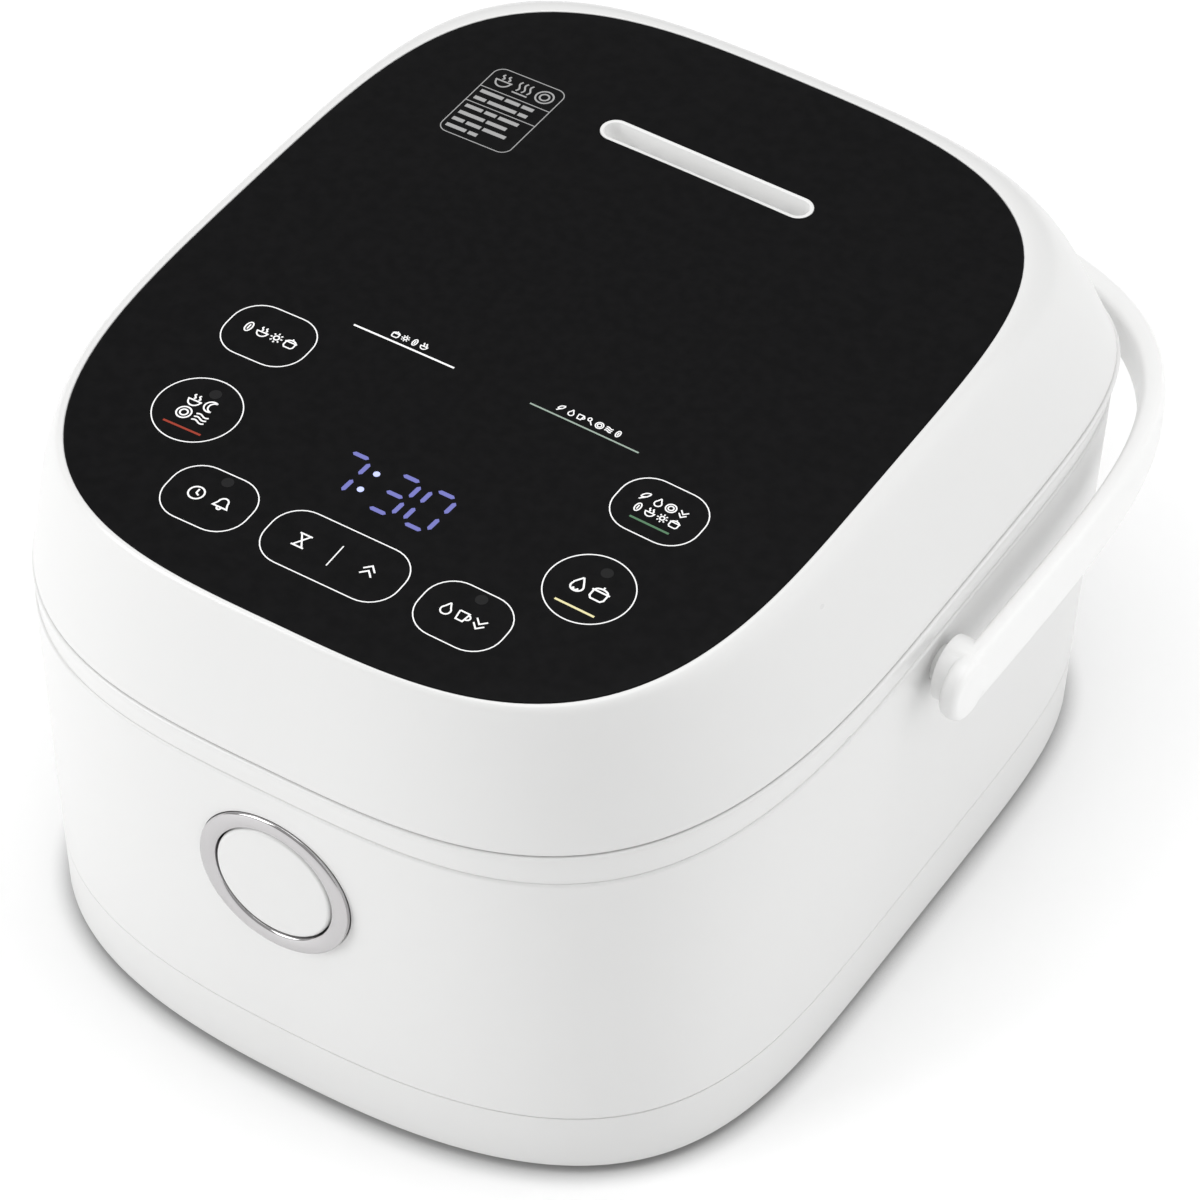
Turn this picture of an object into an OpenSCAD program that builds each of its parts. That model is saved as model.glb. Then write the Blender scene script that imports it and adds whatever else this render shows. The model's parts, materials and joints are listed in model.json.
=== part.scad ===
// Rice cooker: a rounded body with a hinged lid, a carrying handle and an induction-heated pot.
// Units are millimetres. +Z is up, +Y points to the rear and +X to the right seen from the front.
// The origin is on the floor, under the middle of the whole object, handle included.

/* [Body] */
// Width of the body at the lid seam
body_w = 260; // [250:1:270]
// Depth of the body at the lid seam
body_d = 313.6; // [308:0.4:320]
// Height of the seam between body and lid
seam_z = 144.2; // [144:0.1:145]
// Height of the belt line under the rim
belt_z = 132.6; // [131:0.1:134]
// Height of the joint between base cover and outer body
base_z = 26; // [22:0.5:28]
// Wall thickness of the body and the lid
wall = 3; // [2.6:0.1:3]
// How much narrower the rear is than the front, as a share of the half width
rear_taper = 0.02; // [0:0.005:0.03]

/* [Lid] */
// Width of the black top panel
panel_w = 226.2; // [222:0.2:228]
// Depth of the black top panel
panel_d = 279.2; // [275:0.2:282]
// How far the panel's centre lies in front of the body's centre
panel_forward = 9.3; // [8:0.1:10]
// Height of the panel's crown
lid_top = 200.4; // [199:0.1:202]
// Thickness of the top panel
panel_t = 3; // [2.5:0.1:3.5]

/* [Handle] */
// Width across the handle's arms
handle_w = 284.8; // [284:0.2:290]
// Distance from the pivots to the handle's rear face
handle_reach = 180; // [178:0.5:184]
// Height of the handle's pivots
pivot_z = 120; // [118:0.5:122]
// How far the pivots lie behind the body's centre
pivot_back = 6; // [4:0.5:8]
// Height of an arm
arm_h = 20.6; // [18:0.2:22]

/* [Pot] */
// Outer radius of the pot's wall
pot_r = 100; // [96:0.5:100]
// Height of the pot's outer bottom above the floor
pot_bottom = 36; // [36:0.5:40]
// Wall thickness of the pot
pot_wall = 2.5; // [2:0.1:3]

/* [Open button] */
// Height of the button's centre
button_z = 95.2; // [92:0.2:98]
// Outer radius of the chrome ring
ring_outer = 26.1; // [25:0.1:27]
// Inner radius of the chrome ring
ring_inner = 20.6; // [20:0.1:21]

/* [Hidden] */

// The body's centre lies in front of the origin, because the handle stands out behind the body
body_y = (body_d / 2 - pivot_back - handle_reach) / 2;
foot_h = 3;
panel_y = -panel_forward;

// Half widths, half depths and outline exponents [across, along] at each level
seam_half = [body_w / 2, body_d / 2];
belt_half = seam_half - [1.5, 1.5];
low_half = seam_half - [5.8, 6.1];
panel_half = [panel_w / 2, panel_d / 2];
seam_front = [3.19, 2.95];
seam_rear = [4.10, 6.35];
belt_front = [3.22, 3.21];
low_front = [2.5, 4.4];
low_rear = [3.6, 5.5];
panel_front = [3.12, 3.41];
panel_rear = [3.38, 4.48];
// Drop of the panel's surface from its crown to its side edge and to its front edge
crown_drop = [2.9, 3.2];
ring_n = 72;

// Deck under the lid, and the stack in the pot's mouth
deck_z = seam_z - 0.5;
deck_t = 3.5;
lid_bottom = seam_z + 0.7;
mouth_r = 107;
flange_z = deck_z - deck_t;
flange_t = 1.5;
well_r = 103.5;
well_t = 2;
roof_z = lid_bottom + 5.6;
roof_t = 2.2;
recess_r = 108.6;

// Lid hinge at the rear
hinge_y = body_d / 2 - 4.2;
hinge_z = seam_z + 5.2;
hinge_r = 2;
knuckle_r = 4;
hinge_half = 58;
running = 0.05;

// Latch behind the open button
front_y = -153;
latch_y = -131;
latch_z = 120;
plate_y = -142;
button_gap = 0.5;
button_face = front_y - 3;
button_back = front_y + 5.5;
ring_seat = front_y + 0.4;
ring_side = 2.5;
ring_dome = 1.1;

// Side bosses, the handle's pins, and how far the arms' ends reach ahead of the pivot
boss_r = 5.8;
boss_face = 130.7;
pin_r = 4;
tip_ahead = 5;

// Fan and board
fan_at = [44, 96];
fan_low = 8.5;
fan_h = 13;
fan_size = 56;
board_y = 127;

// Steam slot, display and touch keys on the panel, from the body's centre
steam_y = 78.4;
slot_half = [37.4, 5.1];
display_at = [0, -89.4];
display_half = [27, 10];
key_places = [
    [-67.6, -89.9], [67.6, -89.9], [-67.8, -53.9], [67.8, -53.9],
    [-43.6, -118.2], [43.6, -118.2], [-11.4, -118.3], [11.4, -118.3]
];
board_top = 190;

white = "whitesmoke";
steel = "silver";

function mix(p, q, k) = p + (q - p) * k;
function spow(v, e) = sign(v) * pow(abs(v), e);

// Closed outline whose corners are set by an exponent pair in front and another one behind
function ring(half, front, rear, z, cy = 0) = [
    for (i = [0 : ring_n - 1])
        let (t = 360 * i / ring_n, e = sin(t) < 0 ? front : rear, s = spow(sin(t), 2 / e[1]))
        [half[0] * spow(cos(t), 2 / e[0]) * (1 - rear_taper * s), cy + half[1] * s, z]
];

// Outline of the body's wall at a height, moved inwards by inset
function body_ring(z, inset = 0) =
    let (k = (z - foot_h) / (belt_z - foot_h))
    ring(mix(low_half, belt_half, k) - [inset, inset], mix(low_front, belt_front, k),
         mix(low_rear, seam_rear, k), z);

// Height of the panel's crowned surface
function crown(x, y) =
    lid_top - crown_drop[0] * pow(x / panel_half[0], 2)
            - crown_drop[1] * pow((y - panel_y) / panel_half[1], 2);

// Outline of the lid's shoulder: q is 90 at the seam and 0 at the panel's edge
function lid_ring(q, inset = 0, lower = 0) =
    let (u = pow(sin(q), 0.94),
         v = pow(cos(q), 2.56),
         edge = ring(panel_half, panel_front, panel_rear, 0, panel_y),
         side = ring(mix(panel_half, seam_half, u) - [inset, inset], mix(panel_front, seam_front, u),
                     mix(panel_rear, seam_rear, u), 0, mix(panel_y, 0, u)))
    [for (i = [0 : ring_n - 1])
        [side[i][0], side[i][1], mix(seam_z, crown(edge[i][0], edge[i][1]), v) - lower]];

// The panel's own outline, grown or shrunk, at a depth below the crown
function panel_ring(grow, depth) =
    [for (p = ring(panel_half + [grow, grow], panel_front, panel_rear, 0, panel_y))
        [p[0], p[1], crown(p[0], p[1]) - depth]];

function flat(points) = [for (p = points) [p[0], p[1]]];
function level(points, z) = [for (p = points) [p[0], p[1], z]];

function side_faces(count, closed) = [
    for (j = [0 : count - (closed ? 1 : 2)], i = [0 : ring_n - 1])
        let (k = (i + 1) % ring_n, p = j * ring_n, q = ((j + 1) % count) * ring_n)
        each [[p + i, q + i, q + k], [p + i, q + k, p + k]]
];

// Wall that follows a closed chain of rings: up the outside and down the inside
module wall_of(rings) {
    polyhedron([for (r = rings) each r], side_faces(len(rings), true), convexity = 8);
}

// Solid between rings, closed by a flat face at each end
module solid_of(rings) {
    last = (len(rings) - 1) * ring_n;
    floor_face = [[for (i = [0 : ring_n - 1]) i]];
    roof_face = [[for (i = [ring_n - 1 : -1 : 0]) last + i]];
    polyhedron([for (r = rings) each r], concat(floor_face, side_faces(len(rings), false), roof_face),
               convexity = 8);
}

module prism(points, low, high) {
    translate([0, 0, low]) linear_extrude(high - low) polygon(points);
}

module at_body() {
    translate([0, body_y, 0]) children();
}

// Puts a copy on the left and on the right
module both_sides() {
    children();
    mirror([1, 0, 0]) children();
}

// Cylinder along X or along Y, between two places on that axis
module rod_x(r, from, to, n = 48) {
    translate([from, 0, 0]) rotate([0, 90, 0]) cylinder(r = r, h = to - from, $fn = n);
}

module rod_y(r, from, to, n = 48) {
    translate([0, from, 0]) rotate([-90, 0, 0]) cylinder(r = r, h = to - from, $fn = n);
}

module tube(outer, inner, low, high, n = 72) {
    translate([0, 0, low]) difference() {
        cylinder(r = outer, h = high - low, $fn = n);
        translate([0, 0, -1]) cylinder(r = inner, h = high - low + 2, $fn = n);
    }
}

// Slot with round ends, centred on the origin
module slot_2d(half_length, half_width) {
    square([2 * (half_length - half_width), 2 * half_width], center = true);
    for (end = [-1, 1]) {
        translate([end * (half_length - half_width), 0]) circle(r = half_width, $fn = 40);
    }
}

// Wire wound along +Z: r is the coil's middle radius
module coil_spring(r, wire, turns, length) {
    sides = 6;
    steps = 12;
    count = turns * steps;
    points = [
        for (j = [0 : count], i = [0 : sides - 1])
            let (a = 360 * j / steps, b = 360 * i / sides, d = r + wire * cos(b))
            [d * cos(a), d * sin(a), wire + (length - 2 * wire) * j / count + wire * sin(b)]
    ];
    side_list = [
        for (j = [0 : count - 1], i = [0 : sides - 1])
            let (k = (i + 1) % sides, p = j * sides, q = p + sides)
            each [[p + i, q + k, q + i], [p + i, p + k, q + k]]
    ];
    first_cap = [[for (i = [sides - 1 : -1 : 0]) i]];
    last_cap = [[for (i = [0 : sides - 1]) count * sides + i]];
    polyhedron(points, concat(first_cap, side_list, last_cap), convexity = 8);
}

foot_places = [[84, 112], [-84, 112], [84, -112], [-84, -112]];
screw_places = [[100, 0], [-100, 0], [45, 132], [-45, 132], [45, -132], [-45, -132]];

module vent_slots(at, half_span) {
    for (i = [-3 : 3]) {
        translate([at[0] + i * 6.4, at[1], foot_h]) cube([3, 2 * half_span, 8], center = true);
    }
}

// Tray that closes the body from below
module base_cover() {
    color("gainsboro") at_body() difference() {
        solid_of([
            body_ring(foot_h, 1.4),
            body_ring(foot_h + 0.4, 0.4),
            body_ring(foot_h + 1.4, 0),
            body_ring(foot_h + 6, 0),
            body_ring(base_z, 0),
            body_ring(base_z, wall),
            body_ring(foot_h + 6, wall + 0.6),
            level(body_ring(foot_h + 2.6, wall + 4), foot_h + 2.6)
        ]);
        for (p = foot_places) {
            translate([p[0], p[1], 0]) cylinder(r = 3.2, h = 12, $fn = 32);
        }
        for (p = screw_places) {
            translate([p[0], p[1], 0]) cylinder(r = 1.65, h = 12, $fn = 24);
        }
        vent_slots(fan_at, 23);
        vent_slots([-44, 92], 20);
    }
}

module feet() {
    color("dimgray") at_body() for (p = foot_places) {
        translate([p[0], p[1], 0]) {
            cylinder(r1 = 7.6, r2 = 8.5, h = 1, $fn = 48);
            translate([0, 0, 1]) cylinder(r = 8.5, h = foot_h - 1, $fn = 48);
            translate([0, 0, foot_h]) cylinder(r = 3.2, h = 4.4, $fn = 32);
        }
    }
}

module base_screws() {
    color(steel) at_body() for (p = screw_places) {
        translate([p[0], p[1], foot_h]) {
            cylinder(r = 1.6, h = 12, $fn = 24);
            difference() {
                translate([0, 0, -1.6]) cylinder(r = 3.2, h = 1.6, $fn = 32);
                translate([0, 0, -1.6]) cube([3.6, 0.8, 1.6], center = true);
                translate([0, 0, -1.6]) cube([0.8, 3.6, 1.6], center = true);
            }
        }
    }
}

inlet_x = 46;
inlet_z = 46;
inlet_half = [17, 12];

module outer_body() {
    top = belt_z - 0.3;
    levels = [base_z + 0.4, 40, 70, 100, top];
    color(white) at_body() difference() {
        wall_of(concat(
            [for (z = levels) body_ring(z)],
            [for (i = [len(levels) - 1 : -1 : 0]) body_ring(levels[i], wall)]
        ));
        translate([0, 0, button_z]) {
            rod_y(ring_outer + 0.2, -200, ring_seat);
            rod_y(ring_inner + 2.6, -200, -120);
        }
        translate([0, pivot_back, pivot_z]) both_sides() rod_x(boss_r + 0.05, 110, 140);
        translate([inlet_x, 150, inlet_z]) {
            cube([2 * inlet_half[0] + 0.4, 30, 2 * inlet_half[1] + 0.4], center = true);
        }
    }
}

// Upper frame that carries the pot and closes the body's wall
module body_rim() {
    color(white) at_body() difference() {
        solid_of([
            body_ring(belt_z, 0.3),
            body_ring(belt_z + 0.7, -0.4),
            ring(seam_half - [0.3, 0.3], seam_front, seam_rear, deck_z - 0.9),
            ring(seam_half - [1, 1], seam_front, seam_rear, deck_z)
        ]);
        prism(flat(body_ring(belt_z, wall)), belt_z - 1, flange_z);
        cylinder(r = mouth_r, h = 200, $fn = 96);
        translate([0, latch_y, deck_z]) cube([15, 19, 20], center = true);
    }
}

// Cup under the pot: an annular flange, a straight wall and a rounded bottom
module pot_well() {
    low = pot_bottom - 3;
    corner = 34;
    outer = well_r + well_t;
    color("darkslategray") at_body() difference() {
        rotate_extrude($fn = 96) difference() {
            union() {
                translate([0, low]) square([outer - corner, well_t]);
                translate([outer - corner, low + corner]) intersection() {
                    circle(r = corner, $fn = 64);
                    translate([0, -corner]) square(corner);
                }
                translate([outer - corner, low + corner]) square([corner, flange_z - low - corner]);
                translate([outer - 6, flange_z - 2.2]) square([14, 2.2]);
            }
            translate([outer - corner, low + corner]) circle(r = corner - well_t, $fn = 64);
            translate([0, low + corner]) square([well_r, 200]);
        }
        cylinder(r = 17.5, h = 100, $fn = 64);
    }
    color("darkslategray") at_body() tube(well_r + 0.2, pot_r + 1.5, flange_z - 2.2, flange_z);
}

module side_heater() {
    color("goldenrod") at_body() tube(well_r + well_t + 1.3, well_r + well_t + 0.1, 88, 118);
}

coil_z = 28;

module induction_coil() {
    color("peru") at_body() for (r = [30 : 6 : 66]) {
        rotate_extrude($fn = 64) translate([r, coil_z]) circle(r = 2.4, $fn = 20);
    }
}

module coil_carrier() {
    low = coil_z - 5.4;
    color("darkkhaki") at_body() {
        difference() {
            tube(74, 13.4, low, low + 2.6);
            for (a = [0 : 60 : 300]) {
                rotate([0, 0, a + 30]) translate([34, -4, low - 1]) cube([28, 8, 5]);
            }
        }
        for (a = [35, 145, 215, 325]) {
            rotate([0, 0, a]) {
                translate([77, 0, 5.8]) cylinder(r = 4, h = low + 2.6 - 5.8, $fn = 32);
                translate([70, -4, low]) cube([7, 8, 2.6]);
            }
        }
    }
}

module ferrite_bars() {
    low = coil_z - 9.6;
    color("dimgray") at_body() for (a = [0 : 60 : 300]) {
        rotate([0, 0, a]) translate([28, -4, low]) cube([42, 8, 4]);
    }
}

// Pot: turned outline of a flange, a straight wall and a rounded bottom
module inner_pot() {
    corner = 30;
    inner = pot_r - pot_wall;
    color("slategray") at_body() rotate_extrude($fn = 96) difference() {
        union() {
            translate([0, pot_bottom]) square([pot_r - corner, 3]);
            translate([pot_r - corner, pot_bottom + corner]) intersection() {
                circle(r = corner, $fn = 64);
                translate([0, -corner]) square(corner);
            }
            translate([pot_r - corner, pot_bottom + corner]) {
                square([corner, flange_z + flange_t - pot_bottom - corner]);
            }
            translate([inner, flange_z]) square([mouth_r - 1.5 - inner, flange_t]);
        }
        translate([pot_r - corner, pot_bottom + corner]) circle(r = corner - pot_wall, $fn = 64);
        translate([0, pot_bottom + corner]) square([inner, 200]);
        translate([0, pot_bottom + pot_wall]) square([pot_r - corner, corner]);
    }
}

sensor_low = 14;
housing_top = 24;

module sensor_housing() {
    color("ivory") at_body() {
        tube(11.8, 8.4, 9, housing_top);
        tube(24, 11.7, 20.2, coil_z - 5.6);
    }
}

module sensor_spring() {
    color(steel) at_body() translate([0, 0, housing_top + 0.1]) coil_spring(12.4, 0.6, 4, 9.8);
}

// Spring-loaded temperature sensor that touches the pot's bottom
module center_sensor() {
    color(steel) at_body() {
        translate([0, 0, sensor_low]) cylinder(r = 8, h = pot_bottom - 1.8 - sensor_low, $fn = 48);
        translate([0, 0, pot_bottom - 1.8]) cylinder(r = 15.5, h = 1.5, $fn = 64);
    }
}

module power_board() {
    color("darkgreen") at_body() translate([-100, board_y, 24]) cube([120, 1.6, 88]);
}

module power_components() {
    face = board_y + 1.6;
    color("black") at_body() {
        for (x = [-82, -58]) {
            translate([x, 0, 92]) rod_y(8, face, face + 11);
        }
        translate([-30, face, 84]) cube([22, 10, 18]);
        translate([0, face, 86]) cube([14, 14, 20]);
        translate([-86, face, 34]) cube([18, 9, 30]);
    }
}

module heat_sink() {
    face = board_y + 1.6;
    color(steel) at_body() {
        translate([-62, face, 30]) cube([58, 3, 42]);
        for (x = [-61 : 8 : -5]) {
            translate([x, face + 3, 30]) cube([1.4, 12, 42]);
        }
    }
}

module fan_frame() {
    color("black") at_body() translate([fan_at[0], fan_at[1], fan_low]) difference() {
        translate([0, 0, fan_h / 2]) cube([fan_size, fan_size, fan_h], center = true);
        translate([0, 0, 2]) cylinder(r = 26, h = fan_h, $fn = 72);
        difference() {
            translate([0, 0, -1]) cylinder(r = 26, h = 5, $fn = 72);
            translate([0, 0, -2]) cylinder(r = 11, h = 8, $fn = 48);
            for (a = [0, 90, 180, 270]) {
                rotate([0, 0, a + 45]) translate([0, -1.5, -2]) cube([40, 3, 8]);
            }
        }
    }
}

module fan_rotor() {
    color("dimgray") at_body() translate([fan_at[0], fan_at[1], fan_low + 2.6]) {
        cylinder(r = 10.5, h = 9.6, $fn = 48);
        for (a = [0 : 360 / 7 : 359]) {
            rotate([0, 0, a]) translate([9.6, 0, 4.8]) rotate([38, 0, 0]) {
                translate([0, -5, -0.6]) cube([15, 10, 1.2]);
            }
        }
    }
}

module power_inlet() {
    rear = 150.9;
    color("dimgray") at_body() translate([inlet_x, 0, inlet_z]) difference() {
        translate([-inlet_half[0], 124, -inlet_half[1]]) {
            cube([2 * inlet_half[0], rear - 124, 2 * inlet_half[1]]);
        }
        translate([-14, 134, -9]) cube([28, 30, 18]);
        for (x = [-9, 9]) {
            translate([x, 0, 0]) rod_y(2, 120, 160, 24);
        }
    }
}

module inlet_pins() {
    color("gold") at_body() for (x = [-9, 9]) {
        translate([inlet_x + x, 0, inlet_z]) rod_y(2, 121, 146, 24);
    }
}

// Chrome collar around the open button: it stands out of the wall with a straight side and
// a low dome, and its short barrel goes through the wall
module button_ring() {
    half_band = (ring_outer - ring_inner) / 2;
    color(steel) at_body() translate([0, ring_seat, button_z]) rotate([-90, 0, 0]) {
        rotate_extrude($fn = 96) {
            translate([ring_inner, -ring_side]) square([2 * half_band, ring_side]);
            translate([ring_inner + half_band, -ring_side]) scale([1, ring_dome / half_band]) {
                circle(r = half_band, $fn = 40);
            }
            translate([ring_inner, 0]) square([2.3, 6]);
        }
    }
}

module open_button() {
    r = ring_inner - button_gap;
    color(white) at_body() translate([0, 0, button_z]) {
        rod_y(r, button_face, button_back, 96);
        rod_y(4.8, button_back, -134.1, 48);
    }
}

module button_spring() {
    color(steel) at_body() translate([0, button_back + 0.1, button_z]) rotate([-90, 0, 0]) {
        coil_spring(8, 0.6, 3, 5.2);
    }
}

module latch_bracket() {
    color("lightgray") at_body() difference() {
        union() {
            translate([-28, plate_y, 74]) cube([56, 2.4, 56]);
            for (x = [-24, 24], z = [79, 118]) {
                translate([x, 0, z]) rod_y(3.5, front_y + 3.4, plate_y, 32);
            }
            both_sides() translate([7.9, plate_y, latch_z - 6]) cube([2.4, latch_y + 4 - plate_y, 12]);
        }
        translate([0, 0, button_z]) rod_y(5.1, -160, -120);
        translate([0, latch_y, latch_z]) rod_x(2, -20, 20, 32);
    }
}

module latch_pin() {
    color(steel) at_body() translate([0, latch_y, latch_z]) rod_x(2, -11.4, 11.4, 32);
}

// Lever: the button pushes its foot, and its hook then swings away from the lid's catch
module latch_lever() {
    color("lightgray") at_body() translate([0, latch_y, 0]) difference() {
        union() {
            translate([0, 0, latch_z]) rod_x(4.6, -5.5, 5.5);
            translate([-5, -2.6, 90]) cube([10, 4.6, 28]);
            translate([-5, -2.6, latch_z]) cube([10, 4.1, 33.2]);
            translate([-5, 1.4, 149.8]) cube([10, 3.7, 3.4]);
        }
        translate([0, 0, latch_z]) rod_x(2 + running, -20, 20, 32);
    }
}

module latch_spring() {
    color(steel) at_body() translate([5.7, latch_y, latch_z]) rotate([0, 90, 0]) {
        coil_spring(2.9, 0.35, 2, 2.1);
    }
}

module hinge_bracket() {
    ear = [46.5, 8.5];
    color(steel) at_body() difference() {
        union() {
            translate([-57, 141, deck_z]) cube([114, 14.4, 0.9]);
            both_sides() {
                translate([ear[0], hinge_y - knuckle_r, deck_z]) cube([ear[1], 7, hinge_z - deck_z]);
                translate([0, hinge_y, hinge_z]) rod_x(knuckle_r, ear[0], ear[0] + ear[1]);
            }
        }
        translate([0, hinge_y, hinge_z]) rod_x(hinge_r, -100, 100);
    }
}

module hinge_pin() {
    color("darkgray") at_body() translate([0, hinge_y, hinge_z]) rod_x(hinge_r, -55, 55);
}

module hinge_springs() {
    color(steel) at_body() translate([0, hinge_y, hinge_z]) both_sides() {
        translate([12, 0, 0]) rotate([0, 90, 0]) coil_spring(2.9, 0.6, 8, 20);
    }
}

// Round bosses that stand out of the body's sides and carry the handle's pins
module handle_bosses() {
    color(white) at_body() translate([0, pivot_back, pivot_z]) both_sides() difference() {
        union() {
            rod_x(boss_r, 124.2, boss_face, 72);
            rod_x(12, 120.6, 124.2, 72);
        }
        rod_x(pin_r + 0.08, 110, 150);
    }
}

// Bail with arms of full height, which gets lower and thicker towards the rear.
// Each arm ends ahead of the pivot in a round tip, and turns on a hub behind it
module handle() {
    outer = [handle_w / 2, handle_reach];
    inner = outer - [6.5, 9];
    corner = [2.97, 4.56];
    bar_h = 13.2;
    stations = 48;
    sides = 16;
    rings = [
        for (j = [-1 : stations + 1])
            let (t = 180 * max(0, min(j, stations)) / stations,
                 ahead = j < 0 || j > stations ? tip_ahead : 0,
                 c = spow(cos(t), 2 / corner[0]),
                 s = spow(max(sin(t), 0), 2 / corner[1]),
                 h = mix(arm_h, bar_h, pow(sin(t), 2)),
                 zc = mix(0, -1.4, pow(sin(t), 2)))
            [for (i = [0 : sides - 1])
                let (w = 360 * i / sides, k = 0.5 + 0.5 * spow(cos(w), 0.5))
                [mix(inner[0], outer[0], k) * c, mix(inner[1], outer[1], k) * s - ahead,
                 zc - h / 2 * spow(sin(w), 0.5)]]
    ];
    faces = [
        for (j = [0 : stations + 1], i = [0 : sides - 1])
            let (k = (i + 1) % sides, p = j * sides, q = p + sides)
            each [[p + i, q + i, q + k], [p + i, q + k, p + k]]
    ];
    first_cap = [[for (i = [0 : sides - 1]) i]];
    last_cap = [[for (i = [sides - 1 : -1 : 0]) (stations + 2) * sides + i]];
    color(white) at_body() translate([0, pivot_back, pivot_z]) difference() {
        union() {
            polyhedron([for (r = rings) each r], concat(first_cap, faces, last_cap), convexity = 6);
            both_sides() {
                translate([0, -tip_ahead, 0]) rod_x(arm_h / 2, inner[0] + 0.4, outer[0] - 0.4, 72);
                rod_x(arm_h / 2 + 0.1, boss_face + 0.3, outer[0] - 2, 72);
            }
        }
        both_sides() rod_x(pin_r, 120, 140.4);
    }
}

module handle_pins() {
    color(steel) at_body() translate([0, pivot_back, pivot_z]) both_sides() rod_x(pin_r, 117, 140.4);
}

module handle_clips() {
    color(steel) at_body() translate([0, pivot_back, pivot_z]) both_sides() difference() {
        rod_x(7, 118.6, 120);
        rod_x(pin_r, 110, 130);
    }
}

ledge = 7;

// White lid shell: shoulders from the seam to a sunk ledge that carries the panel
module lid_cover() {
    color(white) at_body() difference() {
        wall_of(concat(
            [level(lid_ring(82, 1.6), lid_bottom)],
            [for (q = [72, 62, 52, 42, 32, 22, 11, 0]) lid_ring(q)],
            [panel_ring(0, panel_t + 0.2), panel_ring(-ledge, panel_t + 0.2)],
            [panel_ring(-ledge, panel_t + 2.8)],
            [for (q = [24, 42, 60]) lid_ring(q, wall, 2.4)],
            [level(lid_ring(82, wall + 0.6), lid_bottom)]
        ));
        translate([-hinge_half, hinge_y - 6, lid_bottom - 1]) {
            cube([2 * hinge_half, 20, hinge_z + knuckle_r + 0.7 - lid_bottom + 1]);
        }
    }
}

// Crowned plate with a slot for the steam cap
module top_panel() {
    gap = 0.3;
    scales = [0.14, 0.42, 0.72, 1];
    edge = ring(panel_half - [gap, gap], panel_front, panel_rear, 0, 0);
    function plate_ring(k, depth) =
        [for (p = edge) [p[0] * k, p[1] * k + panel_y, crown(p[0] * k, p[1] * k + panel_y) - depth]];
    rings = concat([for (k = scales) plate_ring(k, panel_t)],
                   [for (j = [len(scales) - 1 : -1 : 0]) plate_ring(scales[j], 0)]);
    count = len(rings);
    low_tip = count * ring_n;
    low_fan = [for (i = [0 : ring_n - 1]) [low_tip, i, (i + 1) % ring_n]];
    top_fan = [for (i = [0 : ring_n - 1])
        [low_tip + 1, (count - 1) * ring_n + (i + 1) % ring_n, (count - 1) * ring_n + i]];
    tips = [[0, panel_y, lid_top - panel_t], [0, panel_y, lid_top]];
    color("black") at_body() difference() {
        polyhedron(concat([for (r = rings) each r], tips), concat(low_fan, side_faces(count, false), top_fan),
                   convexity = 4);
        translate([0, steam_y, 150]) linear_extrude(80) slot_2d(slot_half[0], slot_half[1]);
    }
}

// Removable trough in the panel's slot
module steam_cap() {
    top = crown(0, steam_y) - 0.3;
    low = board_top;
    color(white) at_body() translate([0, steam_y, 0]) difference() {
        translate([0, 0, low]) linear_extrude(top - low) slot_2d(slot_half[0] - 0.15, slot_half[1] - 0.15);
        translate([0, 0, low + 1.6]) linear_extrude(20) slot_2d(slot_half[0] - 1.5, slot_half[1] - 1.5);
        for (x = [-28 : 8 : 28]) {
            translate([x, 0, low]) cube([2, 4.6, 6], center = true);
        }
    }
}

module steam_duct() {
    low = roof_z + roof_t;
    color("lightgray") at_body() translate([0, steam_y, 0]) difference() {
        translate([0, 0, low]) linear_extrude(board_top - low) slot_2d(40, 9);
        translate([0, 0, low + 2]) linear_extrude(60) slot_2d(38, 7);
        cylinder(r = 6, h = 200, $fn = 40);
    }
}

module steam_seal() {
    color("gray") at_body() translate([0, steam_y, 0]) tube(10, 6.5, lid_bottom + 1.4, roof_z, 48);
}

// Underside of the lid, with the recess for the inner lid and the hinge knuckles
module lid_base() {
    plate_t = 2.5;
    color("gainsboro") at_body() {
        difference() {
            union() {
                prism(flat(lid_ring(82, wall + 1.8)), lid_bottom + 0.3, lid_bottom + 0.3 + plate_t);
                translate([0, 0, lid_bottom + 0.3]) {
                    cylinder(r = recess_r + 2.4, h = roof_z + roof_t - lid_bottom - 0.3, $fn = 96);
                }
            }
            translate([0, 0, lid_bottom - 1]) cylinder(r = recess_r, h = roof_z - lid_bottom + 1, $fn = 96);
            translate([0, steam_y, 0]) cylinder(r = 10, h = 200, $fn = 48);
            cylinder(r = 6.2, h = 200, $fn = 40);
            translate([0, latch_y + 1, lid_bottom]) cube([16, 19, 20], center = true);
            translate([-hinge_half - 0.5, hinge_y - 6.4, 100]) cube([2 * hinge_half + 1, 30, 100]);
            for (p = lid_screw_places) {
                translate([p[0], p[1], 0]) cylinder(r = 1.65, h = 200, $fn = 24);
            }
        }
        difference() {
            both_sides() {
                translate([34, hinge_y - 6.6, hinge_z - 3.8]) cube([12.2, 6.6, 3.8]);
                translate([0, hinge_y, hinge_z]) rod_x(knuckle_r, 34, 46.2);
            }
            translate([0, hinge_y, hinge_z]) rod_x(hinge_r + running, -100, 100);
        }
        for (x = [-72, 72], y = [-119, -47]) {
            base = norm([x, y]) > recess_r ? lid_bottom + 0.3 + plate_t : roof_z + roof_t;
            translate([x, y, base]) cylinder(r = 3.5, h = board_top - 1.6 - base, $fn = 32);
        }
    }
}

lid_screw_places = [[112, 50], [-112, 50], [112, -50], [-112, -50], [64, -124], [-64, -124]];

module lid_screws() {
    low = lid_bottom + 0.3;
    color(steel) at_body() for (p = lid_screw_places) {
        translate([p[0], p[1], low]) {
            cylinder(r = 1.6, h = 9, $fn = 24);
            translate([0, 0, 2.5]) cylinder(r = 3.2, h = 1.6, $fn = 32);
        }
    }
}

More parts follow.
